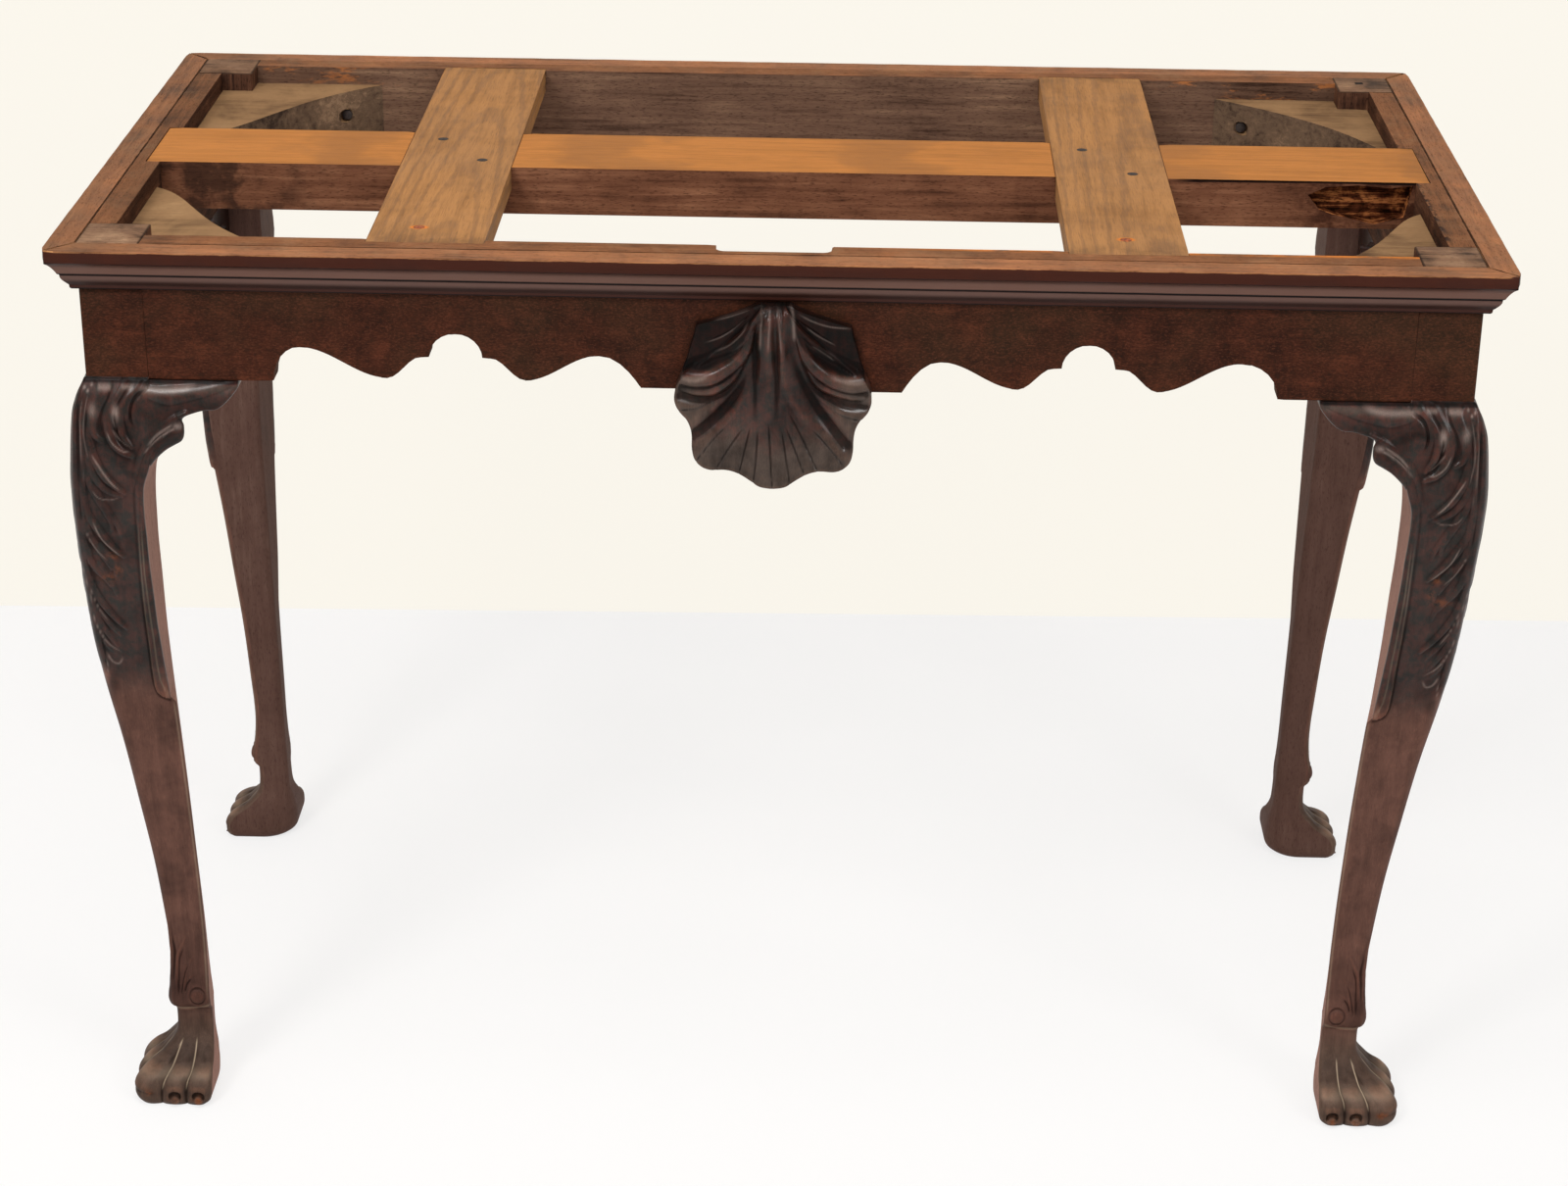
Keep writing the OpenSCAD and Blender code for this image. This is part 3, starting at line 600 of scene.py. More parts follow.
# Veins: [places], half width, depth
KNEE_CUTS = [
    ([(-0.6, 667), (-0.8, 655), (-2.2, 613), (-3.4, 580), (-4.6, 555), (-6.6, 520)], 0.9, 0.5),
    ([(-5.6, 667), (-6.2, 655), (-7.6, 613), (-8.6, 580), (-9.4, 550), (-10, 520)], 0.9, 0.4),
    ([(22, 667), (18, 655), (13, 645), (10.5, 634), (13, 622)], 1.2, 1.4),
    ([(37.5, 667), (30, 657), (24, 646), (22.5, 633), (25, 622), (31, 613.5)], 0.9, 1.2),
    ([(51, 667), (46, 661), (39, 655), (35.5, 647), (35, 638), (38, 631)], 1.3, 2.2),
    ([(26, 640), (24.5, 628), (28, 617), (33, 611.5)], 0.7, 0.8),
    ([(3, 603), (8, 592), (16, 583), (25, 578)], 0.6, 0.6),
    ([(-1, 556), (6, 542), (14, 531), (21, 525)], 0.6, 0.6),
    ([(-6, 497), (0, 481), (9, 468), (18, 460)], 0.6, 0.6),
    ([(-7, 470), (-5, 450), (-3, 432), (-1, 414)], 0.7, 0.8),
    ([(-3.4, 462), (0.6, 446), (1.8, 430), (0.8, 414)], 0.6, 0.8),
    ([(70, 631), (60, 622.5), (52, 613), (46.5, 600), (42, 586)], 0.6, 0.7),
    ([(66, 620), (58, 613), (51.5, 603)], 0.6, 0.7),
]

# Raised band along the knee's inner edge: [height, where it starts along a face], the vein
# along it, and how far it stands proud
BAND_EDGE = [
    [388, 60], [390, 54.3], [394, 46], [398, 42.6], [403, 41.2], [420, 40.3], [437, 39.9],
    [452, 39.2], [471, 38.3], [490, 37.9], [509, 37.6], [528, 37.5],
]
BAND_VEIN = [
    [398, 50], [410, 46.4], [426, 44.8], [446, 43.9], [462, 42.8], [484, 41.5], [509, 40.2],
    [534, 40.1],
]
BAND_RISE = [[386, 0], [389, 2.7], [398, 3.6], [420, 3.6], [446, 2.4], [520, 1.5]]

# Painted highlights, thin lines that catch the light: [places], half width, strength
KNEE_GLEAMS = [
    ([(40, 662), (50, 661.5), (64, 661), (76, 662), (88, 665)], 2.2, 0.32),
    ([(28, 663), (33, 662.5), (38, 662.5)], 1.8, 0.3),
    ([(9, 663), (15, 662), (21, 662.5)], 2.4, 0.36),
    ([(3, 610), (6.5, 603.5), (12.5, 593.5), (18.5, 585.5), (24.5, 580)], 0.6, 0.4),
    ([(2, 580), (7, 573.5), (16, 571.5), (24, 574)], 0.5, 0.2),
    ([(1, 553), (7.5, 537.5), (15, 529), (22.5, 522)], 0.6, 0.35),
    ([(-6, 546), (2.5, 528.5), (11, 518.5)], 0.5, 0.23),
    ([(16, 629), (20, 619.5), (27.5, 613), (33.5, 612)], 0.6, 0.3),
    ([(20.5, 630.5), (25, 622.5), (33, 615.5)], 0.5, 0.25),
    ([(24, 647.5), (21.5, 638.5), (23.5, 629)], 0.5, 0.25),
    ([(-2, 654.5), (-4.5, 636.5), (-5, 612.5), (-3.5, 586.5)], 0.5, 0.2),
    ([(2.5, 658.5), (-1, 641), (-2, 623.5), (0.5, 605)], 0.5, 0.2),
    ([(47.5, 617), (56, 626.5), (70, 636)], 0.9, 0.35),
    ([(59, 625), (65.5, 630), (71.5, 632.5)], 0.9, 0.3),
    ([(44.5, 610.5), (51, 618.5), (62, 628)], 0.7, 0.25),
    ([(-14, 519.5), (-9, 500), (-4.5, 477)], 0.5, 0.23),
    ([(-6.5, 496.5), (0, 477), (8, 463)], 0.5, 0.2),
    ([(-7, 476), (-1.5, 457), (7, 442), (17, 434)], 0.55, 0.25),
    ([(-9, 468), (-6, 440), (-2.5, 416), (0.5, 404)], 0.5, 0.25),
    ([(3, 436), (3.5, 424), (2, 410)], 0.5, 0.2),
    ([(4, 434), (8, 426), (13, 424), (17, 430)], 0.8, 0.26),
]
# Painted highlights on glossy swellings, and pale punched dots: place, height, width, length,
# strength
KNEE_SPOTS = [
    (5.5, 645, 3, 5, 0.3), (23.5, 643.5, 2.4, 5, 0.6), (-0.5, 662, 0.9, 1.3, 0.5),
    (2, 659.5, 0.9, 1.3, 0.5), (5, 664, 0.9, 1.2, 0.4), (72, 634, 4, 2.5, 0.3),
]


def gleams(x, z, lines):
    """Thin lines of painted highlight, fading at their ends."""
    gleam = 0 * x
    for points, width, strength in lines:
        near, gap, share = nearest(x, z, curve(points), 4 * width)
        fade = np.clip(np.minimum(share * 6, (1 - share) * 6), 0, 1)
        gleam[near] = np.maximum(gleam[near], strength * fade * np.exp(-(gap / width) ** 2))
    return gleam


def knee_gleam(x, z):
    """Painted highlights in thin lines and glossy spots of the knee, and its pale punched dots."""
    gleam = gleams(x, z, KNEE_GLEAMS)
    for place, level, wide, tall, strength in KNEE_SPOTS:
        gleam = np.maximum(gleam, strength * spot(x, z, place, level, wide, tall))
    return gleam


def knee_shade(x, z):
    """Painted light along the knee's top and the wing's rolled edge, painted shade under them, and
    a painted shadow at the very top under the rail.
    """
    top = np.exp(-((z - 663) / 4.5) ** 2) * (0.25 + 0.4 * np.exp(-((x - 15) / 7) ** 2)
                                             + 0.35 * np.exp(-((x - 35) / 5) ** 2))
    wing = np.exp(-((z - 660 - 0.05 * (x - 45)) / 4.2) ** 2) * ease(x, 38, 50)
    under = 0.35 * ease(x, 44, 60) * ease(654 - z, 0, 8)
    return under - np.maximum(top, 0.9 * wing) + 2.0 * ease(z, 665, 667)


def spot(x, z, place, level, wide, tall):
    """A soft spot, 1 in its middle."""
    return np.exp(-((x - place) / wide) ** 2 - ((z - level) / tall) ** 2)


def knee_relief(x, z):
    """Height of the knee's carving over its outline, at a distance x along a face."""
    ground = -2.5 * ease(656 - z, 0, 26) * ease(z, 398, 470) * (1 - ease(x, 36, 52) * 0.55)
    dish = np.exp(-((x - 66) / 16) ** 2 - ((z - 648) / 9) ** 2)
    ground = ground * (1 - ease(x, 40, 54) * ease(z, 612, 634)) - 1.6 * dish
    reach = 0.6 + 2.0 * ease(z, 420, 500)
    band = ease((x - stations(z, BAND_EDGE)) / reach, -1.2, 1.0) * ease(596 - z, 0, 30)
    depth = 0.5 + 0.35 * ease(z, 590, 640)
    height = depth * carve(x, z, ground * (1 - band), KNEE_BLADES, KNEE_CUTS)
    vein = np.exp(-((x - stations(z, BAND_VEIN)) / 0.7) ** 2) * ease(z, 398, 404)
    return height + band * (stations(z, BAND_RISE) - 0.6 * vein)


ANKLE_BLADES = [
    ([(31, 82), (30, 112), (30, 145), (29.6, 169)], [5.5, 6.5, 5.5, 0.8], [0.6, 1.4, 1.6, 0.5]),
    ([(34, 84), (35.5, 112), (38, 132), (45, 149.5)], [4.2, 4.2, 3.6, 0.8], [0.2, 0.9, 1.1, 0.5]),
    ([(39, 92), (41.5, 108), (44.5, 120), (51.5, 132)], [3.4, 3.4, 2.6, 0.8], [0.0, 0.7, 0.9, 0.3]),
    ([(43, 104), (47, 110), (53, 115)], [2.8, 2.6, 0.9], [0.0, 0.6, 0.2]),
    ([(27, 80), (34, 77.5), (42, 77), (50, 79.5), (56, 86), (59, 96)],
     [1.8, 1.8, 1.8, 1.8, 1.6, 1.2], [0.6, 0.7, 0.7, 0.7, 0.6, 0.2]),
]
ANKLE_CUTS = [
    ([(33, 150), (34.5, 135), (33, 118), (31, 98)], 0.9, 1.1),
    ([(42, 140), (38.5, 127), (37, 110), (35.5, 92)], 1.0, 1.5),
    ([(47, 126), (42.5, 114), (40, 102), (38.5, 92)], 0.9, 1.3),
    ([(48, 110), (44, 104), (41.5, 96)], 0.8, 1.1),
]
TOE_GROOVES = (  # [height, first groove, second groove], places along a face
    [0, 21.5, 42.5], [12, 22, 42.8], [18, 23, 43.4], [23, 24.6, 44.4], [27.5, 27.2, 46.4],
    [32, 30.2, 47.6], [41, 33.8, 48.6], [49, 36.6, 49], [60, 40, 50],
)
TOE_DEPTH = (
    [0, 3.4], [8, 4.4], [17, 4.6], [27, 4.2], [33, 3.2], [41, 1.9], [49, 0.9], [56, 0.25],
    [62, 0],
)
CLAWS = (33.0, 53.4)  # places of the claws' stubs along a face
CUFF = 76  # height of the cuff's lower edge, where the foot ends and the ankle starts
ROUNDEL = (52.5, 93.0, 6.0)  # place, height and radius of the boss beside the ankle
# Spots worn to bare wood: place, height, width, length, strength
WORN_SPOTS = [
    (10, 13, 4.5, 3, 1.0), (33, 6.8, 3, 3, 0.8), (53.4, 6.8, 3, 3, 0.8), (16, 523, 4.5, 3, 0.5),
    (19, 510.5, 3, 4.5, 0.45), (10.5, 502.5, 5.5, 3.5, 0.45),
]


def foot_relief(x, z):
    """Toes, claws and the leaf over the ankle."""
    first, second = smooth(TOE_GROOVES, z, 1), smooth(TOE_GROOVES, z, 2)
    middle, inner = corner_line(z), smooth(LEG, z, 2) + 4
    low = np.where(x < first, 2 * middle - first, np.where(x < second, first, second))
    high = np.where(x < first, first, np.where(x < second, second, inner))
    across = np.clip((2 * x - low - high) / (high - low), -1, 1)
    height = stations(z, TOE_DEPTH) * (np.sqrt(1 - 0.96 * across ** 2) - 1)
    knuckle = (2.0 * np.exp(-((z - 29.5) / 4.2) ** 2) + 0.8 * np.exp(-((z - 20) / 6) ** 2)
               - 0.7 * np.exp(-((z - 12.5) / 2.6) ** 2))
    height += knuckle * (1 - across ** 2)
    for place in CLAWS:
        away = np.hypot(x - place, z - 9.5) / 5.8
        height -= 3.6 * (1 - ease(away, 0.7, 1.05))
        stub = np.hypot(x - place, z - 6.5) / 4.2
        height += 4.2 * np.sqrt(np.clip(1 - stub ** 2, 0, 1))
    place, level, radius = ROUNDEL
    ring = np.hypot(x - place, (z - level) * 0.85) / radius
    ankle = carve(x, z, np.zeros_like(x), ANKLE_BLADES, ANKLE_CUTS)
    boss = ease(1.6 - ring, 0, 0.3)
    dome = 1.9 - np.minimum(ring, 1) ** 2 - np.exp(-((ring - 1.12) / 0.2) ** 2)
    return height + np.where(z > CUFF, ankle * (1 - boss) + boss * dome, 0)


def leg_dust_and_highlights(x, z, side):
    """Pale dust and wax caught in the toes' grooves, painted highlights along the cuff's lip,
    across the knuckles and down the side corner, and pale lines beside the knee's band.
    """
    dust = 0 * x
    for column in (1, 2):
        groove = np.exp(-((x - smooth(TOE_GROOVES, z, column)) / 0.48) ** 2)
        dust = np.maximum(dust, 1.4 * groove * ease(z, 14, 22) * (1 - ease(z, 45, 51)))
    half = side / 2
    # painted highlight along the cuff's lip
    lip = 78.5 + 5 * np.abs((x - half + 2) / half) ** 3
    dust = np.maximum(dust, 0.45 * np.exp(-((z - lip) / 1.2) ** 2))
    # painted highlight in a band across the knuckles
    dust = np.maximum(dust, 0.3 * np.exp(-((z - 27.5) / 3.5) ** 2))
    # painted highlight down the side corner
    edge = np.exp(-((x - side + 1.2) / 0.9) ** 2) * ease(z, 84, 110) * (1 - ease(z, 380, 390))
    dust = np.maximum(dust, 0.4 * edge)
    for table in (BAND_EDGE, BAND_VEIN):
        line = np.exp(-((x - stations(z, table)) / 0.6) ** 2) * ease(z, 388, 396)
        dust = np.maximum(dust, 0.25 * line * (1 - ease(z, 530, 560)))
    return dust


def leg_shade(x, z):
    """Dark instep and toe ends under the ankle, and the light and dark of the knee."""
    instep = 0.5 * ease(z, 31, 40) * (1 - ease(z, 44, 56)) + 0.3 * (1 - ease(z, 14, 20))
    instep += 0.15 * ease(z, 44, 56) * (1 - ease(z, 68, 78))
    shelf = 0.1 * np.exp(-((z - 26) / 4) ** 2)
    for column in (1, 2):
        beside = np.exp(-((x - smooth(TOE_GROOVES, z, column)) / 4.5) ** 2)
        instep = instep + 0.45 * beside * ease(z, 5, 12) * (1 - ease(z, 36, 46))
    place, level, radius = ROUNDEL
    dark = 0.3 * spot(x, z, place, level, radius, radius) + 0.5 * spot(x, z, 35, 102, 9, 12)
    dark = dark + 0.4 * ease(x, 14, 24) * ease(z, 72, 84) * (1 - ease(z, 128, 165))
    tip = 0.7 * spot(x, z, 1, 414, 4, 11) - 0.5 * spot(x, z, 8, 405, 5, 8)
    return np.where(z > 600, knee_shade(x, z), instep - shelf + dark - tip)


def leg_rubs(x, z):
    """Places where the polish is worn to bare orange wood."""
    rubs = sum(strength * spot(x, z, *place) for *place, strength in WORN_SPOTS)
    return np.minimum(rubs, 1)


def leg_rows():
    """Heights of the leg's rings, which lie close together where it is carved."""
    return np.concatenate([
        np.arange(0, 172, 1.15), np.arange(172, 386, 5.0), np.arange(386, 667.6, 1.12), [668]])


ACROSS = (6, 76, 4, 8, 8)  # samples of the outer corner, face, side corner, inner face, heel
SIDE_SOFT = [[0, 5.5], [45, 4.5], [76, 2.4], [590, 2.2], [606, 0.35]]  # side corner radius


def arc(middle_x, middle_y, radius, first, last, count):
    """Places and directions round part of a circle, without its first place."""
    turn = np.radians(np.linspace(first, last, count + 1))[None, 1:]
    return (middle_x + radius * np.cos(turn), middle_y + radius * np.sin(turn),
            np.cos(turn) + 0 * radius, np.sin(turn) + 0 * radius, turn)


def half_ring(z, flare, soft_low, heel_low):
    """Half of each ring round the leg, from the outer corner to the inner one, seen in the
    rails' own corner: places, outward directions, distance along the face, and carved share."""
    out, far, radius, heel = (smooth(LEG, z, k)[:, None] for k in (1, 2, 3, 4))
    side = far + stations(z, flare)[:, None]
    fade = ease(z, 560, 604)[:, None]
    soft = np.maximum(stations(z, SIDE_SOFT)[:, None], soft_low * (1 - fade))
    heel = np.maximum(heel, heel_low * (1 - fade))
    corner, face, edge, inner, back = ACROSS
    x1, y1, nx1, ny1, turn = arc(-out + radius, -out + radius, radius, 225, 270, corner)
    x1, y1, nx1, ny1, turn = (np.roll(v, 1, 1) for v in (x1, y1, nx1, ny1, turn + 0 * radius))
    x1[:, 0] = y1[:, 0] = (-out + radius * (1 - math.sqrt(0.5)))[:, 0]
    nx1[:, 0] = ny1[:, 0] = -math.sqrt(0.5)
    turn[:, 0] = math.radians(225)
    along1 = -out + radius - radius * (math.radians(270) - turn)
    share = np.linspace(0, 1, face)[None, :]
    x2 = (-out + radius) * (1 - share) + (side - soft) * share
    x3, y3, nx3, ny3, turn3 = arc(side - soft, -out + soft, soft, 270, 360, edge)
    share = np.linspace(0, 1, inner + 1)[None, 1:]
    x4 = side * (1 - share) + far * share
    y4 = (-out + soft) * (1 - share) + (far - heel) * share
    x5, y5, nx5, ny5, _ = arc(far - heel, far - heel, heel, 0, 45, back)
    flat2, flat4 = 0 * x2, 0 * x4
    x = np.concatenate([x1, x2, x3, x4, x5], 1)
    y = np.concatenate([y1, flat2 - out, y3, y4, y5], 1)
    nx = np.concatenate([nx1, flat2, nx3, flat4 + 1, nx5], 1)
    ny = np.concatenate([ny1, flat2 - 1, ny3, flat4, ny5], 1)
    beyond = side - soft + soft * (turn3 - math.radians(270))
    along = np.concatenate([along1, x2, beyond, side + soft + flat4, side + soft + 0 * x5], 1)
    carved = np.concatenate(
        [1 + 0 * x1, 1 + flat2, np.clip(-ny3, 0, 1) ** 1.5, flat4, 0 * x5], 1)
    return x, y, nx, ny, along, carved, side


POST_ARRIS = 1.0  # radius of the post's outer and inner corners
POST_SIDE_ARRIS = 0.25  # radius of its side corners, which lie against the rails


def post_half(inset):
    """Half of the square post's ring, with as many places as the leg's."""
    corner, face, edge, inner, back = ACROSS
    low, high, r, sharp = inset, POST - inset, POST_ARRIS, POST_SIDE_ARRIS
    turn = np.radians(np.linspace(225, 270, corner + 1))[:-1]
    xs = [low + r + r * np.cos(turn), np.linspace(low + r, high - r, face)]
    ys = [low + r + r * np.sin(turn), np.full(face, low)]
    turn = np.radians(np.linspace(270, 360, edge + 1))[1:]
    xs += [high - sharp + sharp * np.cos(turn), np.full(inner, high)]
    ys += [low + sharp + sharp * np.sin(turn), np.linspace(low + sharp, high - r, inner + 1)[1:]]
    turn = np.radians(np.linspace(0, 45, back + 1))[1:]
    return (np.concatenate([*xs, high - r + r * np.cos(turn)]),
            np.concatenate([*ys, high - r + r * np.sin(turn)]))


def leg_shape(flare, soft_low=0.0, heel_low=0.0):
    """Places, faces and marks of one leg in the rails' own corner."""
    z = leg_rows()
    x, y, nx, ny, along, carved, side = half_ring(z, flare, soft_low, heel_low)
    level = np.repeat(z[:, None], x.shape[1], 1)
    relief = np.where(level > 386, knee_relief(along, level), 0)
    relief = relief + np.where(level < 176, foot_relief(along, level), 0)
    relief = relief * carved * sizes().carving
    carving = (relief - softened(relief, 5)) * carved
    # the dust mark also holds painted highlights; shade holds painted light and shade; gleam holds
    # painted highlights
    marks = {"carving": carving, "dust": leg_dust_and_highlights(along, level, side) * carved,
             "rub": leg_rubs(along, level) * carved,
             "shade": leg_shade(along, level) * carved,
             "gleam": knee_gleam(along, level) * carved}
    x, y = x + nx * relief, y + ny * relief
    edge = 0.7  # chamfer round the post's top
    posts = [(*post_half(inset), height) for height, inset in (
        (RAIL_LOW + 1.5, 0.0), (TOP - edge, 0.0), (TOP, edge))]
    x = np.vstack([x] + [p[0] for p in posts])
    y = np.vstack([y] + [p[1] for p in posts])
    level = np.vstack([level] + [np.full(x.shape[1], p[2]) for p in posts])
    plain = np.zeros((len(posts), x.shape[1]))
    # the other half is the same with X and Y changed over
    last = x.shape[1] - 1

    def whole(first, second):
        return np.hstack([first, second[:, last - 1:0:-1]])

    marks = {key: whole(*[np.vstack([value, plain])] * 2).ravel()
             for key, value in marks.items()}
    x, y, level = whole(x, y), whole(y, x), whole(level, level)
    rows, count = x.shape
    places = np.stack([x, y, level], 2).reshape(-1, 3)
    k, i = np.meshgrid(np.arange(rows - 1), np.arange(count), indexing="ij")
    j = (i + 1) % count
    faces = np.stack([k * count + i, k * count + j, (k + 1) * count + j, (k + 1) * count + i], 2)
    faces = faces.reshape(-1, 4).tolist()
    faces.append(list(range(count - 1, -1, -1)))
    faces.append(list(range((rows - 1) * count, rows * count)))
    return places, faces, marks


def mesh_piece(name, places, faces, marks=None, flip=False):
    """An object at the origin, from places in millimetres, with marks for its finish."""
    mesh = bpy.data.meshes.new(name)
    if flip:
        faces = [f[::-1] for f in faces]
    mesh.from_pydata((np.asarray(places) * MM).tolist(), [], faces)
    for key, value in (marks or {}).items():
        attribute = mesh.attributes.new(key, "FLOAT", "POINT")
        attribute.data.foreach_set("value", np.asarray(value, np.float32))
    mesh.validate()
    piece = bpy.data.objects.new(name, mesh)
    bpy.context.scene.collection.objects.link(piece)
    return piece


def to_corner(places, side_x, side_y):
    """Places drawn in the rails' own corner, put in one of the four corners."""
    places = np.array(places, float)
    places[:, 0] = side_x * (HALF_LENGTH - places[:, 0])
    places[:, 1] = side_y * (HALF_DEPTH - places[:, 1])
    return places


CORNERS = (("front_left", -1, -1), ("front_right", 1, -1), ("rear_left", -1, 1),
           ("rear_right", 1, 1))


def only(piece):
    """Makes a piece the one selected and active object."""
    bpy.ops.object.select_all(action="DESELECT")
    piece.hide_set(False)
    piece.select_set(True)
    bpy.context.view_layer.objects.active = piece


def smooth_edges(piece, angle):
    """Smooth shading, apart from edges sharper than an angle in degrees."""
    only(piece)
    bpy.ops.object.shade_smooth_by_angle(angle=math.radians(angle))


def settle(piece, slot, *nodes):
    """Rides a piece on the frame in place of its solids."""
    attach(piece, "root")
    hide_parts(*nodes)


def give(piece, materials, choose=None):
    """Puts finishes on a piece, chosen for each face by its middle and outward direction."""
    piece.data.materials.clear()
    for material in materials:
        piece.data.materials.append(material)
    if choose:
        for face in piece.data.polygons:
            face.material_index = choose(face.center / MM, face.normal)


# ---------- the ears beside the knees ----------

# Outline of the ear: distance along the front from the rails' corner, drop under the rail
EAR = [
    (120, 0), (119.5, 5), (116, 10), (111, 15.5), (105.5, 20), (100.5, 22), (93, 22.5),
    (84, 25), (78, 27.5), (75.6, 30), (77, 34.5), (76.8, 42), (74.5, 47), (69, 50.5),
    (63, 54), (58, 58), (53, 63), (49, 68),
]
EAR_BACK = 20.0  # depth of the ear's flat back behind the rail's face
EAR_PULL = 11.0  # how far the back's outline stands in from the front's
EAR_ROLL = 3.2  # radius of the ear's rounded edge


def ear_shape():
    """Places, faces and carving of the ear that runs along the front from a front left leg."""
    edge = curve([(x, RAIL_LOW - drop) for x, drop in EAR], 110)
    edge[-1] = EAR[-1][0], RAIL_LOW - EAR[-1][1]
    hub = np.array([POST, RAIL_LOW])
    shares = np.concatenate([np.linspace(0, 0.9, 44)[1:], np.linspace(0.9, 1.0, 16)[1:]])
    ray = edge[None, :, :] - hub
    flat = hub + shares[:, None, None] * ray
    x, z = flat[..., 0], flat[..., 1]
    along = np.gradient(edge, axis=0)
    normal = np.stack([-along[:, 1], along[:, 0]], 1)
    normal /= np.linalg.norm(normal, axis=1)[:, None]
    inward = np.abs((ray[0] * normal).sum(1))[None, :] * (1 - shares[:, None])
    relief = knee_relief(x, z) * sizes().carving
    tone = relief - softened(relief, 4)
    y = -smooth(LEG, z, 1) - relief + rounding(inward, EAR_ROLL)
    # the rounded edge is marked as a ridge, which the finish lightens: wear along the edge, and a
    # painted highlight
    tone += 0.5 * np.exp(-((inward - 1.5) / 1.2) ** 2)
    rows, count = x.shape
    front = np.stack([x, y, z], 2).reshape(-1, 3)
    hub_y = -smooth(LEG, np.array([RAIL_LOW]), 1)[0]
    places = [(POST, hub_y, RAIL_LOW), *front.tolist()]
    tones = [0.0, *tone.ravel().tolist()]
    faces = [(0, 1 + i, 2 + i) for i in range(count - 1)] + sheet_faces(rows, count, 1)
    # once round the edge, for the sides and the back
    loop = [0] + [1 + k * count for k in range(rows)]
    loop += [1 + (rows - 1) * count + i for i in range(1, count)]
    loop += [1 + k * count + count - 1 for k in range(rows - 2, -1, -1)]
    start = len(places)
    for v in loop:
        x_front, _, z_front = places[v]
        pull = EAR_PULL * ease(RAIL_LOW - z_front, 6, 18) * ease(x_front - POST, 0, 14)
        places.append((x_front - pull, EAR_BACK, z_front))
    faces += closing_faces(loop, start)
    marks = {"carving": tones + [0.0] * len(loop)}
    for key, mark in (("shade", knee_shade(x, z)), ("gleam", knee_gleam(x, z))):
        marks[key] = np.zeros(len(places))
        marks[key][1:1 + x.size] = mark.ravel()
    return np.array(places), faces, marks


# ---------- the shell ----------

RIM = [  # [angle from straight down in degrees, distance from the neck]
    [0, 149], [4, 147.5], [7, 143.2], [10, 139.8], [13, 138.2], [16, 138.8], [20, 142.3],
    [23, 142.4], [26, 139], [28.5, 132], [30.5, 124.5], [33, 118], [36, 114], [39, 112.8],
    [42, 111.3], [45.5, 107.5], [48.5, 101], [51.5, 91.5], [56, 81.5], [61, 74.5],
    [67, 67.5], [74, 62.5],
]
NECK = np.array([-3.0, 741.0])  # middle of the neck, along the front and up
NECK_HALF = 13.0
WING = 51.5  # angle from straight down where the flat wings start, in degrees
LAST = 74.0  # angle of the wings' upper edges
SHELL_ROLL = 1.6  # radius of the rim's rounded edge
# Height over the rail, by the share of the way from the neck to the rim
SHELL_SECTION = [[0, 11], [0.07, 17.5], [0.2, 19.5], [0.36, 17], [0.52, 12.5], [0.66, 10.5],
                 [0.8, 12], [0.92, 16], [1, 19]]
WING_SECTION = [[0, 9], [0.15, 11.5], [0.5, 9.5], [1, 8.5]]

# Hollows between the shell's ribs: [places], half width, depth at its start, middle and end,
# less than nothing where a soft rib stands up
SHELL_HOLLOWS = [
    ([(-8, 741), (-9.5, 735), (-16, 721), (-17, 700), (-17, 680), (-17, 650)], 3.0,
     (2, 3.4, 0.4)),
    ([(-0.5, 741), (-0.5, 735), (-1.5, 721), (-0.5, 700), (0, 680), (0, 650)], 3.0,
     (2, 3.4, 0.4)),
    ([(-13, 741), (-15, 725), (-21.5, 686), (-32, 666), (-50.5, 646), (-68, 634)], 5.2,
     (1.5, 5.0, 3.5)),
    ([(7, 741), (9, 722), (11.5, 705), (19.5, 680), (33.5, 654.5), (53, 630)], 5.2,
     (1.5, 5.0, 3.5)),
    ([(-76, 668), (-58, 664), (-46, 670), (-34, 682), (-26, 698)], 3.0, (1.5, 3.0, 0.5)),
    ([(72, 662), (54, 661), (42, 666), (30, 678), (21, 695)], 3.0, (1.5, 3.0, 0.5)),
    ([(-7.5, 738), (-7.5, 721), (-7.5, 690), (-7, 650)], 3.2, (-1.0, -1.8, -0.4)),
    ([(-11, 738), (-14, 716), (-18.5, 697), (-27.5, 666), (-42, 644)], 3.4, (-1.2, -2.0, -1.4)),
    ([(3.5, 738), (4, 712), (4, 690), (11, 667), (23, 647)], 3.4, (-1.2, -2.0, -1.4)),
    ([(-11.5, 741), (-12, 730), (-13, 715)], 1.2, (1.6, 1.2, 0)),
    ([(3, 741), (3.5, 730), (4, 715)], 1.2, (1.6, 1.2, 0)),
]
SHELL_RIBS = [
    # rolled upper edges of the side lobes, and the small roll under each
    ([(-80, 686), (-64, 682), (-52, 683.5), (-40, 690), (-29.5, 699), (-23.5, 709),
      (-19.5, 724)], [5.0, 5.2, 5.0, 4.4, 3.6, 2.8, 2.0], [20.5, 21.3, 21.3, 20.8, 20, 19, 17]),
    ([(75, 682), (59, 679), (45, 682.5), (33, 690), (23.5, 701), (17.5, 715.5), (12, 731)],
     [5.0, 5.2, 5.0, 4.4, 3.6, 2.8, 2.0], [20.5, 21.3, 21.3, 20.8, 20, 19, 17]),
    ([(-80, 677), (-61, 672.5), (-47.5, 674), (-35.5, 683), (-28, 693)],
     [3.0, 3.4, 3.2, 2.6, 1.4], [17.5, 18, 17.5, 17, 16]),
    ([(75, 671), (60.5, 670.5), (45, 674), (33, 679.5), (25, 690)],
     [3.0, 3.4, 3.2, 2.6, 1.4], [17.5, 18, 17.5, 17, 16]),
]
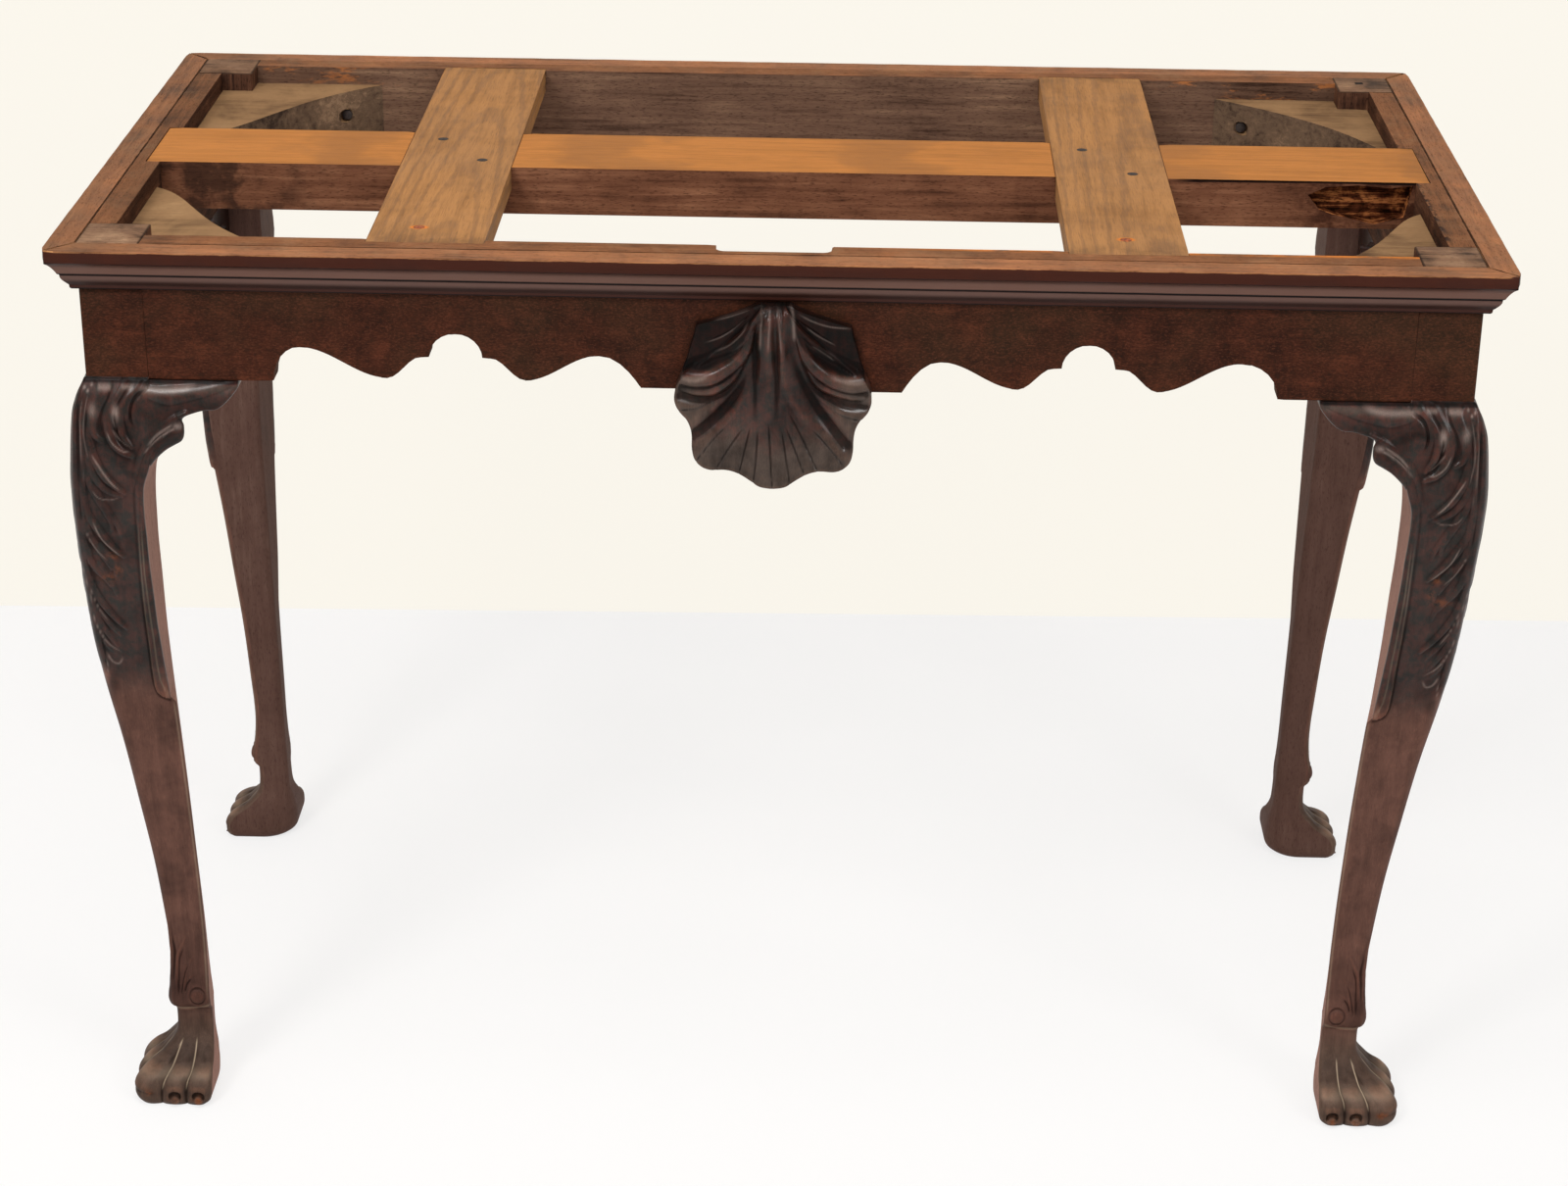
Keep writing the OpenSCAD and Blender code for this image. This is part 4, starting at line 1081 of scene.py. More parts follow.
SHELL_VEINS = [  # [places], half width, depth
    ([(-68, 607), (-52, 628), (-36, 645)], 0.75, 1.0),
    ([(-51, 602), (-38, 623), (-25, 642)], 0.75, 1.0),
    ([(-30, 600), (-25, 622), (-20, 643)], 0.75, 1.0),
    ([(-18.5, 589), (-16, 615), (-14.5, 641)], 0.75, 1.0),
    ([(-2.5, 584), (-4.5, 615), (-6.5, 646)], 0.75, 1.0),
    ([(11.5, 591), (7.5, 617), (3.5, 641)], 0.75, 1.0),
    ([(24.5, 599), (15, 622), (6, 644)], 0.75, 1.0),
    ([(37, 599), (23, 627), (8.5, 655)], 0.75, 1.0),
    ([(56, 609), (41, 626), (27, 641)], 0.75, 1.0),
    ([(-84, 656.5), (-62.5, 657.5), (-52, 661.5), (-42, 668)], 0.75, 1.0),
    ([(76, 650), (53, 652.5), (42.5, 657), (31, 664)], 0.75, 1.0),
    ([(-20, 735), (-34, 721.5), (-56, 709.5)], 0.8, 0.8),
    ([(-18, 730), (-28, 720), (-37, 709.5), (-52, 702)], 0.8, 0.8),
    ([(14, 731), (26, 722), (45, 709)], 0.8, 0.8),
    ([(17, 722), (26.5, 711), (44.5, 697)], 0.8, 0.8),
]
SHELL_GLEAMS = [  # painted highlights, thin lines that catch the light: [places], half width, strength
    ([(-12.5, 742), (-12.5, 730), (-12.8, 721), (-13.5, 706)], 1.0, 0.2),
    ([(-6.5, 741), (-6, 730), (-6.5, 721), (-7, 706)], 0.9, 0.2),
    ([(0, 741), (1, 730), (2, 721), (3.5, 704)], 0.9, 0.16),
    ([(9.5, 742), (11.5, 736), (12.5, 728), (13, 714)], 1.2, 0.26),
    ([(-61, 727), (-42, 730), (-26.5, 736), (-18, 741)], 0.7, 0.2),
    ([(15.5, 735.5), (26.5, 729), (40, 724.5), (57.5, 723)], 0.7, 0.2),
    ([(-57, 709.5), (-44.5, 714), (-34.5, 721), (-24.5, 731)], 0.5, 0.14),
    ([(-49, 702.5), (-37.5, 709), (-28, 719.5), (-22, 729)], 0.5, 0.14),
    ([(22, 724), (31, 717), (45.5, 709)], 0.5, 0.14),
    ([(26.5, 711), (35.5, 704), (44.5, 697)], 0.5, 0.14),
    ([(-76, 686), (-68, 683), (-60, 683.5), (-52, 687)], 1.5, 0.22),
    ([(69, 683), (60.5, 682.5), (49.5, 684.5), (41, 688)], 1.5, 0.2),
]
ROLL_TOPS = [  # middle line of the rolled edges: place along the front, height
    [-80, 687], [-68, 681.5], [-60, 682.5], [-49, 688], [-37.5, 696.5], [-26.5, 708.5],
    [-20, 723], [-16, 770], [10, 770], [13.5, 719], [18, 707.5], [27, 695.5], [38, 687.5],
    [49.5, 683], [60.5, 681], [69, 682], [80, 685],
]


def shell_place(angle, t):
    """Place on the shell's outline drawing at an angle and a share of the way to the rim."""
    reach = smooth(RIM, np.abs(angle), 1)
    turn = np.radians(angle)
    end = NECK[0] + reach * np.sin(turn), NECK[1] - reach * np.cos(turn)
    start = NECK[0] + NECK_HALF * angle / LAST, NECK[1] + 0 * angle
    bend = start[0] + 0.3 * (end[0] - start[0]), start[1] - 0.5 * (start[1] - end[1])
    return tuple((1 - t) ** 2 * start[k] + 2 * t * (1 - t) * bend[k] + t * t * end[k]
                 for k in (0, 1))


def shell_shape():
    """Places, faces and carving of the shell."""
    angles = np.linspace(-LAST, LAST, 301)
    shares = np.concatenate([np.linspace(0, 0.95, 150)[:-1], np.linspace(0.95, 1, 18)])
    g, t = np.meshgrid(angles, shares)
    x, z = shell_place(g, t)
    main = smooth(SHELL_SECTION, t, 1)
    wing = smooth(WING_SECTION, t, 1)
    inner = 1 - ease(np.abs(g), WING - 1.2, WING + 0.8)
    hollow = 0 * x
    for points, width, depths in SHELL_HOLLOWS:
        near, gap, share = nearest(x, z, curve(points, 60), 4 * width)
        depth = np.interp(share, [0, 0.45, 1], depths)
        hollow[near] += depth * np.exp(-(gap / width) ** 2) * inner[near]
    ground = main * inner + wing * (1 - inner) - hollow
    height = np.where(np.abs(g) > WING + 0.8, carve(x, z, ground, [], SHELL_VEINS),
                      carve(x, z, ground, SHELL_RIBS, SHELL_VEINS))
    height = ground + (height - ground) * sizes().carving
    tone = height - softened(height, 7)
    rim = smooth(RIM, np.abs(g), 1) * (1 - t)
    # painted shade on the wings, in the hollows and above the rolled edges; painted light towards
    # the rim and along the rolls
    shade = 1 - inner - inner * ease(t, 0.55, 0.9) + 0.13 * hollow
    for points, _, _ in SHELL_RIBS[:2]:
        near, gap, share = nearest(x, z - 1.5, curve(points, 60), 12)
        shade[near] -= 0.5 * (1 - share) * np.exp(-(gap / 2.6) ** 2) * inner[near]
    above = ease(z - stations(x, ROLL_TOPS), 3.5, 6.5)
    shade = shade * (1 - above) + above
    gleam = gleams(x, z, SHELL_GLEAMS)
    height = np.minimum(height - rounding(rim, SHELL_ROLL), MOULDING_OUT - 0.4)
    tone += 0.7 * np.exp(-((rim - 1.0) / 1.4) ** 2) * (np.abs(g) < WING)
    rows, count = x.shape
    front = np.stack([x, -HALF_DEPTH - height, z], 2).reshape(-1, 3)
    rear = np.stack([x, np.full_like(x, -HALF_DEPTH), z], 2)
    # once round the edge, for the sides and the back
    loop = [k * count for k in range(rows)] + [(rows - 1) * count + i for i in range(1, count)]
    loop += [k * count + count - 1 for k in range(rows - 2, -1, -1)]
    loop += list(range(count - 2, 0, -1))
    places = np.vstack([front, rear.reshape(-1, 3)[loop]])
    tones, shade, gleam = (np.concatenate([mark.ravel(), np.zeros(len(loop))])
                           for mark in (tone, shade, gleam))
    faces = sheet_faces(rows, count) + closing_faces(loop, rows * count)
    return places, faces, {"carving": tones, "shade": shade, "gleam": gleam}


# ---------- plain boards, worked from their solids ----------


def board(node, name):
    """A copy of one of the frame's solids, merged into flat faces."""
    only(frame["nodes"][node])
    bpy.ops.object.duplicate()
    piece = bpy.context.view_layer.objects.active
    piece.name = piece.data.name = name
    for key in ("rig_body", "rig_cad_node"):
        if key in piece:
            del piece[key]
    piece.parent = None
    piece.data.materials.clear()
    bpy.ops.object.mode_set(mode="EDIT")
    bpy.ops.mesh.select_all(action="SELECT")
    bpy.ops.mesh.remove_doubles(threshold=1e-6)
    bpy.ops.mesh.customdata_custom_splitnormals_clear()
    bpy.ops.mesh.dissolve_limited(angle_limit=math.radians(0.6))
    bpy.ops.object.mode_set(mode="OBJECT")
    return piece


def apply_modifier(piece, kind, **settings):
    """Adds a modifier with its settings and applies it."""
    only(piece)
    modifier = piece.modifiers.new(kind.title(), kind)
    for key, value in settings.items():
        setattr(modifier, key, value)
    bpy.ops.object.modifier_apply(modifier=modifier.name)


def soften(piece, width):
    """Rounds a piece's edges."""
    apply_modifier(piece, "BEVEL", width=width, segments=2, limit_method="ANGLE",
                   angle_limit=math.radians(40), use_clamp_overlap=True)


def slice_along(piece, axis, spacing):
    """Cuts a board across its length, so that its edges can be worn."""
    reach = [v.co[axis] for v in piece.data.vertices]
    low, high = min(reach), max(reach)
    only(piece)
    bpy.ops.object.mode_set(mode="EDIT")
    count = int((high - low) / spacing)
    for n in range(1, count):
        place, normal = [0, 0, 0], [0, 0, 0]
        place[axis], normal[axis] = low + (high - low) * n / count, 1
        bpy.ops.mesh.select_all(action="SELECT")
        bpy.ops.mesh.bisect(plane_co=place, plane_no=normal)
    bpy.ops.object.mode_set(mode="OBJECT")


def wear(piece, depth, size=0.02):
    """Rubs and knocks a board's edges with a cloud pattern."""
    arris = piece.vertex_groups.new(name="arris")
    chosen = [v.index for v in piece.data.vertices if max(abs(c) for c in v.normal) < 0.97]
    arris.add(chosen, 1.0, "REPLACE")
    texture = bpy.data.textures.new(piece.name + "_wear", "CLOUDS")
    texture.noise_scale = size
    texture.noise_depth = 3
    texture.noise_basis = "ORIGINAL_PERLIN"
    apply_modifier(piece, "DISPLACE", texture=texture, texture_coords="LOCAL",
                   direction="NORMAL", mid_level=0.15, strength=-depth, vertex_group=arris.name)


def finished_board(node, name, axis, spacing, depth=None, width=None):
    """A board with softened and worn edges, along one axis: 0 for X, 1 for Y."""
    piece = board(node, name)
    soften(piece, width or sizes().arris)
    slice_along(piece, axis, spacing)
    wear(piece, depth or sizes().wear)
    smooth_edges(piece, 35)
    return piece


# ---------- finishes ----------

finishes = {}


def finish(name, make):
    """Each finish is made once, when a piece first needs it."""
    if name not in finishes:
        finishes[name] = make()
    return finishes[name]


JOINT_DIRT = "1b0e09"
POST_HOLE = 515, 254  # nail hole in the top of the rear right post


def dusty(f, base, roughness, height):
    """Pale dust and rubbing on upper faces."""
    dust = f.noise(f.place, 30, 5, 0.65, 0.6).above(0.45, 0.76) * 0.3
    return f.blend(dust, base, "9a7a5c"), roughness + dust * 0.2, height


def away_from(value, place):
    """Millimetres between a coordinate, taken without its sign, and a place."""
    return (value.maths("ABSOLUTE") - place * MM).maths("ABSOLUTE") * 1000


def seamed(f, base, roughness, height):
    """Dust, the dark rough joints between moulding and rails, painted shade on the side lengths,
    and a chewed inner edge.
    """
    base, roughness, height = dusty(f, base, roughness, height)
    x, y = f.part(0), f.part(1)
    ragged = f.noise(f.place, 70, 4, 0.65)
    # beyond the rails' corner, in millimetres
    out_x = x.maths("ABSOLUTE") * 1000 - HALF_LENGTH
    out_y = y.maths("ABSOLUTE") * 1000 - HALF_DEPTH
    side = 1 - out_x.maths("ABSOLUTE").above(ragged * 1.6 - 0.2, ragged * 1.6 + 0.5)
    side = side * (1 - out_y.above(-0.5, 0.5))
    front = (1 - out_y.maths("ABSOLUTE").above(0.2, 0.8)) * ragged.above(0.4, 0.6) * 0.6
    front = front * (1 - out_x.above(-0.5, 0.5))
    width = y.above(0.2, 0.28) * 0.6 + 1.1
    gap = (out_x - out_y).maths("ABSOLUTE") - width
    mitre = (1 - gap.above(-0.2, 0.4)) * out_x.above(0.0, 0.5)
    joint = side.maths("MAXIMUM", mitre)
    base = f.blend(joint.maths("MAXIMUM", front) * 0.9, base, JOINT_DIRT)
    # painted shade: the left side's lengths darker, the right side's a little
    painted_side_shade = (1 - x.above(-0.5, -0.48)) * 0.8 + x.above(0.48, 0.5) * 0.3
    base = f.blend(painted_side_shade, base, (0.68, 0.70, 0.72), "MULTIPLY")
    inner = 1 - (x * 1000 - (HALF_LENGTH - RAIL_THICK)).above(0.5, 6.5)
    inner = inner * x.above(0.48, 0.5) * (1 - y.above(0.02, 0.12)) * y.above(-0.215, -0.205)
    chewed = inner * f.noise(f.stretched((1, 0.5, 1)), 140, 4, 0.7).above(0.47, 0.55)
    base = f.blend(chewed, base, "26150d")
    return base, roughness + joint * 0.3, height - joint * 1.5 - chewed


def post_edges(f, base, roughness, height):
    """Dark joints round the tops of the posts, and the hole of an old square nail."""
    inner = away_from(f.part(0), HALF_LENGTH - POST)
    inner = inner.maths("MINIMUM", away_from(f.part(1), HALF_DEPTH - POST))
    edge = inner.maths("MINIMUM", away_from(f.part(0), HALF_LENGTH))
    joint = 1 - edge.above(0.6, 2.0)
    base = f.blend(joint * 0.75, base, "20130d")
    dx, dy = ((f.part(k) * 1000 - POST_HOLE[k]).maths("ABSOLUTE") for k in (0, 1))
    hole = 1 - dx.maths("MAXIMUM", dy).above(3.0, 4.2)
    return f.blend(hole, base, "0c0705"), roughness, height - hole * 2


def post_top():
    return finish("post_top", lambda: wood(
        "post_tops", "x", "38281f", "7a5c47", "a08064", mottle=0.7, streak=0.4, pores=0.5,
        rough=0.7, gloss=0.05, relief=0.4, extra=post_edges))


def veneer(f, base, roughness, height):
    """Fine dark and light specks of the figured veneer, greener in some places."""
    speck = f.noise(f.stretched((0.55, 0.55, 1)), 850, 4, 0.7)
    drift = f.noise(f.place, 7, 3, 0.6).above(0.42, 0.62)
    base = f.blend(drift * 0.45, base, (0.036, 0.021, 0.0095))
    base = f.blend(speck.above(0.48, 0.68) * 0.6, base, (0.014, 0.0095, 0.005))
    base = f.blend((1 - speck.above(0.32, 0.5)) * 0.4, base, (0.13, 0.042, 0.022))
    return base, roughness, height


def frieze(axis):
    colour = colours().frieze
    return finish("frieze_" + axis, lambda: wood(
        "mahogany_frieze_" + axis, axis, scaled(colour, 0.5), scaled(colour, 1.0),
        scaled(colour, 1.9), mottle=0.7, streak=0.3, pores=0.5, rough=0.5, gloss=0.08,
        mottle_size=48.0, extra=veneer))


def front_wear(f, base, roughness, height):
    """The front rail's inner edge, rubbed to bare orange wood on its right."""
    base, roughness, height = seamed(f, base, roughness, height)
    inner = (-HALF_DEPTH + RAIL_THICK) * MM
    edge = f.part(1).above(inner - 0.0075, inner - 0.001) * f.part(0).above(0.05, 0.2)
    ragged = f.noise(f.stretched((0.3, 1, 1)), 90, 4, 0.65).above(0.4, 0.56)
    return f.blend(edge * ragged, base, "c8742c"), roughness, height


def rail_top(axis, name="rail_top_", extra=seamed):
    colour = colours().moulding
    return finish(name + axis, lambda: wood(
        "worn_" + name + axis, axis, scaled(colour, 0.26), scaled(colour, 0.68),
        scaled(colour, 1.1), mottle=0.5, streak=0.5, pores=0.5, rough=0.62, gloss=0.06,
        relief=0.35, extra=extra))


def rail_inside(axis):
    return finish("rail_inside_" + axis, lambda: wood(
        "rail_inside_" + axis, axis, "22130d", "462c1f", "6e4a35", mottle=0.6, streak=0.7,
        pores=0.7, rough=0.75, gloss=0.05, relief=0.5))


def torn(f, base, roughness, height):
    """Upper edge torn to bare orange wood in places."""
    edge = f.part(2).above((TOP - 26) * MM, (TOP - 4) * MM)
    ragged = f.noise(f.stretched((0.35, 1, 1.4)), 70, 5, 0.7).above(0.56, 0.66)
    ends = f.part(0).maths("ABSOLUTE").above(0.32, 0.36)
    return f.blend(edge * ragged * ends * 0.8, base, "a8683a"), roughness, height


def oak(axis):
    return finish("oak_" + axis, lambda: wood(
        "dark_oak_" + axis, axis, "2e1d16", "5e4537", "82654f", mottle=0.3, streak=0.5,
        pores=0.5, rough=0.75, gloss=0.05, relief=0.6, mottle_size=12.0, extra=torn))


def moulding_top(axis):
    colour = colours().moulding
    return finish("moulding_top_" + axis, lambda: wood(
        "moulding_top_" + axis, axis, scaled(colour, 0.42), scaled(colour, 0.95),
        scaled(colour, 1.45), mottle=0.45, streak=0.6, pores=0.5, rough=0.55, gloss=0.08,
        relief=0.3, extra=seamed))


# Painted light and shade on the moulding's profile, dark shadow lines and lit bands: drops from
# its upper face where each one starts and holds
MOULDING_LIGHT_AND_SHADE = [
    (9.6, 10.6, "1c0b07"), (10.8, 11.8, "4a322b"), (12.0, 16.0, "6e5147"),
    (20.6, 21.6, "060303"), (22.8, 23.8, "624a43"), (25.5, 30.0, "2f1c17"),
    (32.2, 33.0, "3c2019"), (34.2, 35.2, "120806"),
]


def moulding_bands(f, base, roughness, height):
    """Painted light and shade on the moulding's profile, and its upper rim worn to bare wood."""
    drop = (TOP * MM - f.part(2)) * 1000
    tone = "3c1c12"
    for start, full, colour in MOULDING_LIGHT_AND_SHADE:
        tone = f.blend(drop.above(start, full), tone, colour)
    base = f.blend(0.92, base, tone)
    worn = f.noise(f.place, 55, 4, 0.65).above(0.36, 0.6)
    rim = (1 - drop.above(0.7, 1.7)) * worn
    return f.blend(rim * 0.85, base, "c48a58"), roughness, height


def moulding_face(axis):
    return finish("moulding_face_" + axis, lambda: wood(
        "moulding_face_" + axis, axis, "140706", "331512", "6b3a2c", mottle=0.4, streak=0.4,
        pores=0.3, rough=0.4, gloss=0.1, relief=0.15, extra=moulding_bands))


def carved():
    own = colours()
    return finish("carved", lambda: carved_wood(
        "carved_mahogany", own.carved, own.shank, own.foot))


def leg_inside(row, share):
    """Finish of the legs' plain inner faces: painted lighter on the front legs than on the rear, as
    painted light.
    """
    return finish("leg_inside_" + row, lambda: wood(
        row + "_leg_inner_faces", "z", scaled((0.050, 0.0235, 0.0170), share),
        scaled((0.092, 0.048, 0.037), share), scaled((0.15, 0.090, 0.070), share),
        mottle=0.25, streak=0.3, pores=0.4, rough=0.62, gloss=0.06, relief=0.25))


# ---------- the stage and the camera ----------

CAMERA_PLACE = (0.057, -2.6425, 1.5583)
CAMERA_TURN = (0.0211, 0.4217, 0.0111)  # yaw, pitch down and roll, in radians
LENS = 74.34
STAGE_WIDE = 9.0
WALL_Y, WALL_TALL = 0.773, 3.0
WALL_TURN = math.radians(1.36)  # the wall isn't quite parallel to the table


def camera_axes(yaw, pitch, roll):
    """The camera's directions to its right, forward and up, as rows."""
    cy, sy, cp, sp, cr, sr = (f(a) for a in (yaw, pitch, roll) for f in (math.cos, math.sin))
    turned = Matrix(((cy, sy, 0), (-sy, cy, 0), (0, 0, 1)))
    tipped = Matrix(((1, 0, 0), (0, cp, -sp), (0, sp, cp)))
    rolled = Matrix(((cr, 0, sr), (0, 1, 0), (-sr, 0, cr)))
    return rolled @ tipped @ turned


def area_light(name, place, target, width, height, power):
    light = bpy.data.lights.new(name, "AREA")
    light.shape, light.size, light.size_y = "RECTANGLE", width, height
    light.energy = power
    lamp = bpy.data.objects.new(name, light)
    lamp.location = place
    lamp.rotation_euler = (Vector(target) - Vector(place)).to_track_quat("-Z", "Y").to_euler()
    bpy.context.scene.collection.objects.link(lamp)


def paper(name, colour, glow, white):
    """Plain paper that looks lit to the lens and to gloss, holds a shadow, and is clear
    to the lens from behind."""
    f = Finish(name)
    f.surface(Base_Color=colour_of(colour), Roughness=0.9, Specular_IOR_Level=0.1)
    path = f.node("ShaderNodeLightPath", {}, [])
    camera = path.out("Is Camera Ray")
    share = camera.maths("MAXIMUM", path.out("Is Glossy Ray")) * glow
    lit = f.node("ShaderNodeEmission", {}, {"Color": colour_of(white), "Strength": 1.0}).out()
    sheet = Value(f, f.shader.outputs[0])
    sheet = f.node("ShaderNodeMixShader", {}, [share, sheet, lit]).out()
    behind = camera * f.node("ShaderNodeNewGeometry", {}, []).out("Backfacing")
    clear = f.node("ShaderNodeBsdfTransparent", {}, []).out()
    sheet = f.node("ShaderNodeMixShader", {}, [behind, sheet, clear]).out()
    f.tree.links.new(sheet.socket, f.tree.nodes["Material Output"].inputs["Surface"])
    return f.material


# ---------- operators ----------


class TABLE_OT_stage(bpy.types.Operator):
    """Adds the floor, the backdrop, the lamps and the camera"""

    bl_idname = "side_table.stage"
    bl_label = "Stage"

    def execute(self, context):
        scene = context.scene
        floor = self.sheet("stage_floor", Matrix(), STAGE_WIDE,
                           paper("floor_paper", "f4f1ee", 0.74, "ffffff"))
        upright = (Matrix.Translation((0, WALL_Y, WALL_TALL / 2))
                   @ Matrix.Rotation(WALL_TURN, 4, "Z")
                   @ Matrix.Rotation(math.radians(90), 4, "X"))
        wall = self.sheet("stage_backdrop", upright, WALL_TALL,
                          paper("backdrop_paper", "c6bcb0", 0.92, "fffbf1"))

        world = scene.world or bpy.data.worlds.new("world")
        scene.world = world
        world.use_nodes = True
        background = world.node_tree.nodes["Background"]
        background.inputs["Color"].default_value = (1.0, 0.985, 0.97, 1)
        background.inputs["Strength"].default_value = 0.55
        area_light("key_lamp", (-1.5, -2.4, 2.9), (0, 0, 0.5), 0.8, 0.8, 48)
        area_light("fill_lamp", (2.0, -2.2, 2.0), (0, 0, 0.4), 0.9, 0.9, 18)
        area_light("top_lamp", (-0.2, -0.9, 3.2), (0, 0, 0.5), 1.6, 1.0, 32)

        camera = bpy.data.cameras.new("camera")
        camera.lens, camera.sensor_width = LENS, 36
        camera.clip_start, camera.clip_end = 0.05, 50
        holder = bpy.data.objects.new("camera", camera)
        right, forward, up = camera_axes(*CAMERA_TURN)
        turned = Matrix((right, up, -forward)).transposed()
        holder.matrix_world = Matrix.Translation(CAMERA_PLACE) @ turned.to_4x4()
        scene.collection.objects.link(holder)
        scene.camera = holder
        scene.view_settings.view_transform = "Standard"
        return {"FINISHED"}

    def sheet(self, name, place, length, material):
        bpy.ops.object.select_all(action="DESELECT")
        bpy.ops.mesh.primitive_plane_add(size=1, location=(0, 0, 0))
        piece = bpy.context.object
        piece.name = name
        piece.data.transform(place @ Matrix.Diagonal((STAGE_WIDE, length, 1, 1)))
        piece.data.materials.append(material)
        return piece


PLAIN = 4  # place of the plain inner faces' finish among a leg's finishes


class TABLE_OT_legs(bpy.types.Operator):
    """Carves the four cabriole legs"""

    bl_idname = "side_table.legs"
    bl_label = "Legs"

    def execute(self, context):
        shapes = {-1: leg_shape(FRONT_FLARE), 1: leg_shape(REAR_FLARE, 5.0, 9.0)}
        for corner, side_x, side_y in CORNERS:
            places, faces, marks = shapes[side_y]
            stood = to_corner(places, side_x, side_y)
            height = np.minimum(stood[:, 2], SET_TOP)
            stood[:, :2] += (1 - (height / SET_TOP) ** SET_CURVE)[:, None] * FOOT_SET[corner]
            piece = mesh_piece(corner + "_cabriole_leg", stood, faces, marks,
                               flip=side_x * side_y < 0)
            # the front legs' inner faces take a lighter copy of the finish, painted light
            plain = leg_inside("front", 2.9) if side_y < 0 else leg_inside("rear", 1.05)
            give(piece, [carved(), frieze("x"), post_top(), rail_inside("z"), plain],
                 self.wood_of)
            inner, count = sum(ACROSS[:3]) - 1, 2 * (sum(ACROSS) - 1)
            for face in piece.data.polygons:
                if face.material_index == 0 and inner <= face.index % count < count - inner:
                    face.material_index = PLAIN
            smooth_edges(piece, 50)
            settle(piece, "mahogany_carved", corner + "_leg")
        return {"FINISHED"}

    def wood_of(self, middle, normal):
        """0 on the leg, 1 on the post's outer faces, 2 on its top, 3 on its inner faces."""
        if middle.z > TOP - 0.4:
            return 2
        if middle.z > RAIL_LOW + 1:
            outer = max(abs(middle.x) - HALF_LENGTH, abs(middle.y) - HALF_DEPTH)
            return 1 if outer > -3 else 3
        return 0


class TABLE_OT_ears(bpy.types.Operator):
    """Carves the scrolled ears beside the knees"""

    bl_idname = "side_table.ears"
    bl_label = "Ears"

    def execute(self, context):
        places, faces, marks = ear_shape()
        swapped = places[:, [1, 0, 2]]
        for corner, side_x, side_y in CORNERS:
            for way, shape, turned in (("front", places, False), ("side", swapped, True)):
                if way == "front" and side_y > 0:
                    continue
                flip = (side_x * side_y < 0) != turned
                piece = mesh_piece(f"{corner}_{way}_ear", to_corner(shape, side_x, side_y),
                                   faces, marks, flip=flip)
                give(piece, [carved()])
                smooth_edges(piece, 50)
                settle(piece, "mahogany_carved", f"{corner}_{way}_bracket")
        return {"FINISHED"}


class TABLE_OT_shell(bpy.types.Operator):
    """Carves the shell in the middle of the front rail"""

    bl_idname = "side_table.shell"
    bl_label = "Shell"

    def execute(self, context):
        piece = mesh_piece("carved_shell", *shell_shape())
        give(piece, [carved()])
        smooth_edges(piece, 55)
        settle(piece, "mahogany_carved", "shell_carving")
        return {"FINISHED"}


def rail_face(outward):
    """Finish of a rail's faces: 0 outside, 1 on top, 2 inside and underneath."""
    def choose(middle, normal):
        if normal.z > 0.7 and middle.z > TOP - 1.5:
            return 1
        return 0 if normal.dot(outward) > 0.35 else 2
    return choose


class TABLE_OT_rails(bpy.types.Operator):
    """Finishes the four rails"""

    bl_idname = "side_table.rails"
    bl_label = "Rails"

    def execute(self, context):
        for node, axis, outward in (
                ("front_rail", 0, (0, -1, 0)), ("back_rail", 0, (0, 1, 0)),
                ("left_side_rail", 1, (-1, 0, 0)), ("right_side_rail", 1, (1, 0, 0))):
            piece = finished_board(node, node + "_board", axis, 0.014, width=0.0004)
            letter = "xy"[axis]
            inside = oak("x") if node == "back_rail" else rail_inside(letter)
            top = rail_top(letter)
            if node == "front_rail":
                top = rail_top("x", "front_rail_top_", front_wear)
            give(piece, [frieze(letter), top, inside], rail_face(Vector(outward)))
            settle(piece, "oak_back_rail" if node == "back_rail" else "mahogany_rails", node)
        return {"FINISHED"}


def bezier(*points, count=10):
    """Places along a cubic curve."""
    t = np.linspace(0, 1, count)[:, None]
    a, b, c, d = (np.asarray(point, float) for point in points)
    places = ((1 - t) ** 3 * a + 3 * t * (1 - t) ** 2 * b + 3 * t * t * (1 - t) * c + t ** 3 * d)
    return [tuple(place) for place in places]


MOULDING_SECTION = [  # [distance out from the rail, drop from the upper face]
    (0, 0), (22.2, 0), (23, 0.8), (23, 9.4), (22.8, 10.2), (22.3, 10.6),
    *bezier((21.6, 10.9), (18, 12.6), (15.4, 16.5), (12.8, 22)), (11.6, 22.5),
    *bezier((11.3, 25), (10.3, 27.8), (8.2, 30), (6.3, 32.2)), (6, 32.5), (5.7, 35),
    (4.8, 36), (0, 36),
]
CLOSE_MITRE = 0.0003  # half the gap of a tight mitre, in metres
CORNER_ROUND = 0.009  # how far the table's corners are worn round, in metres


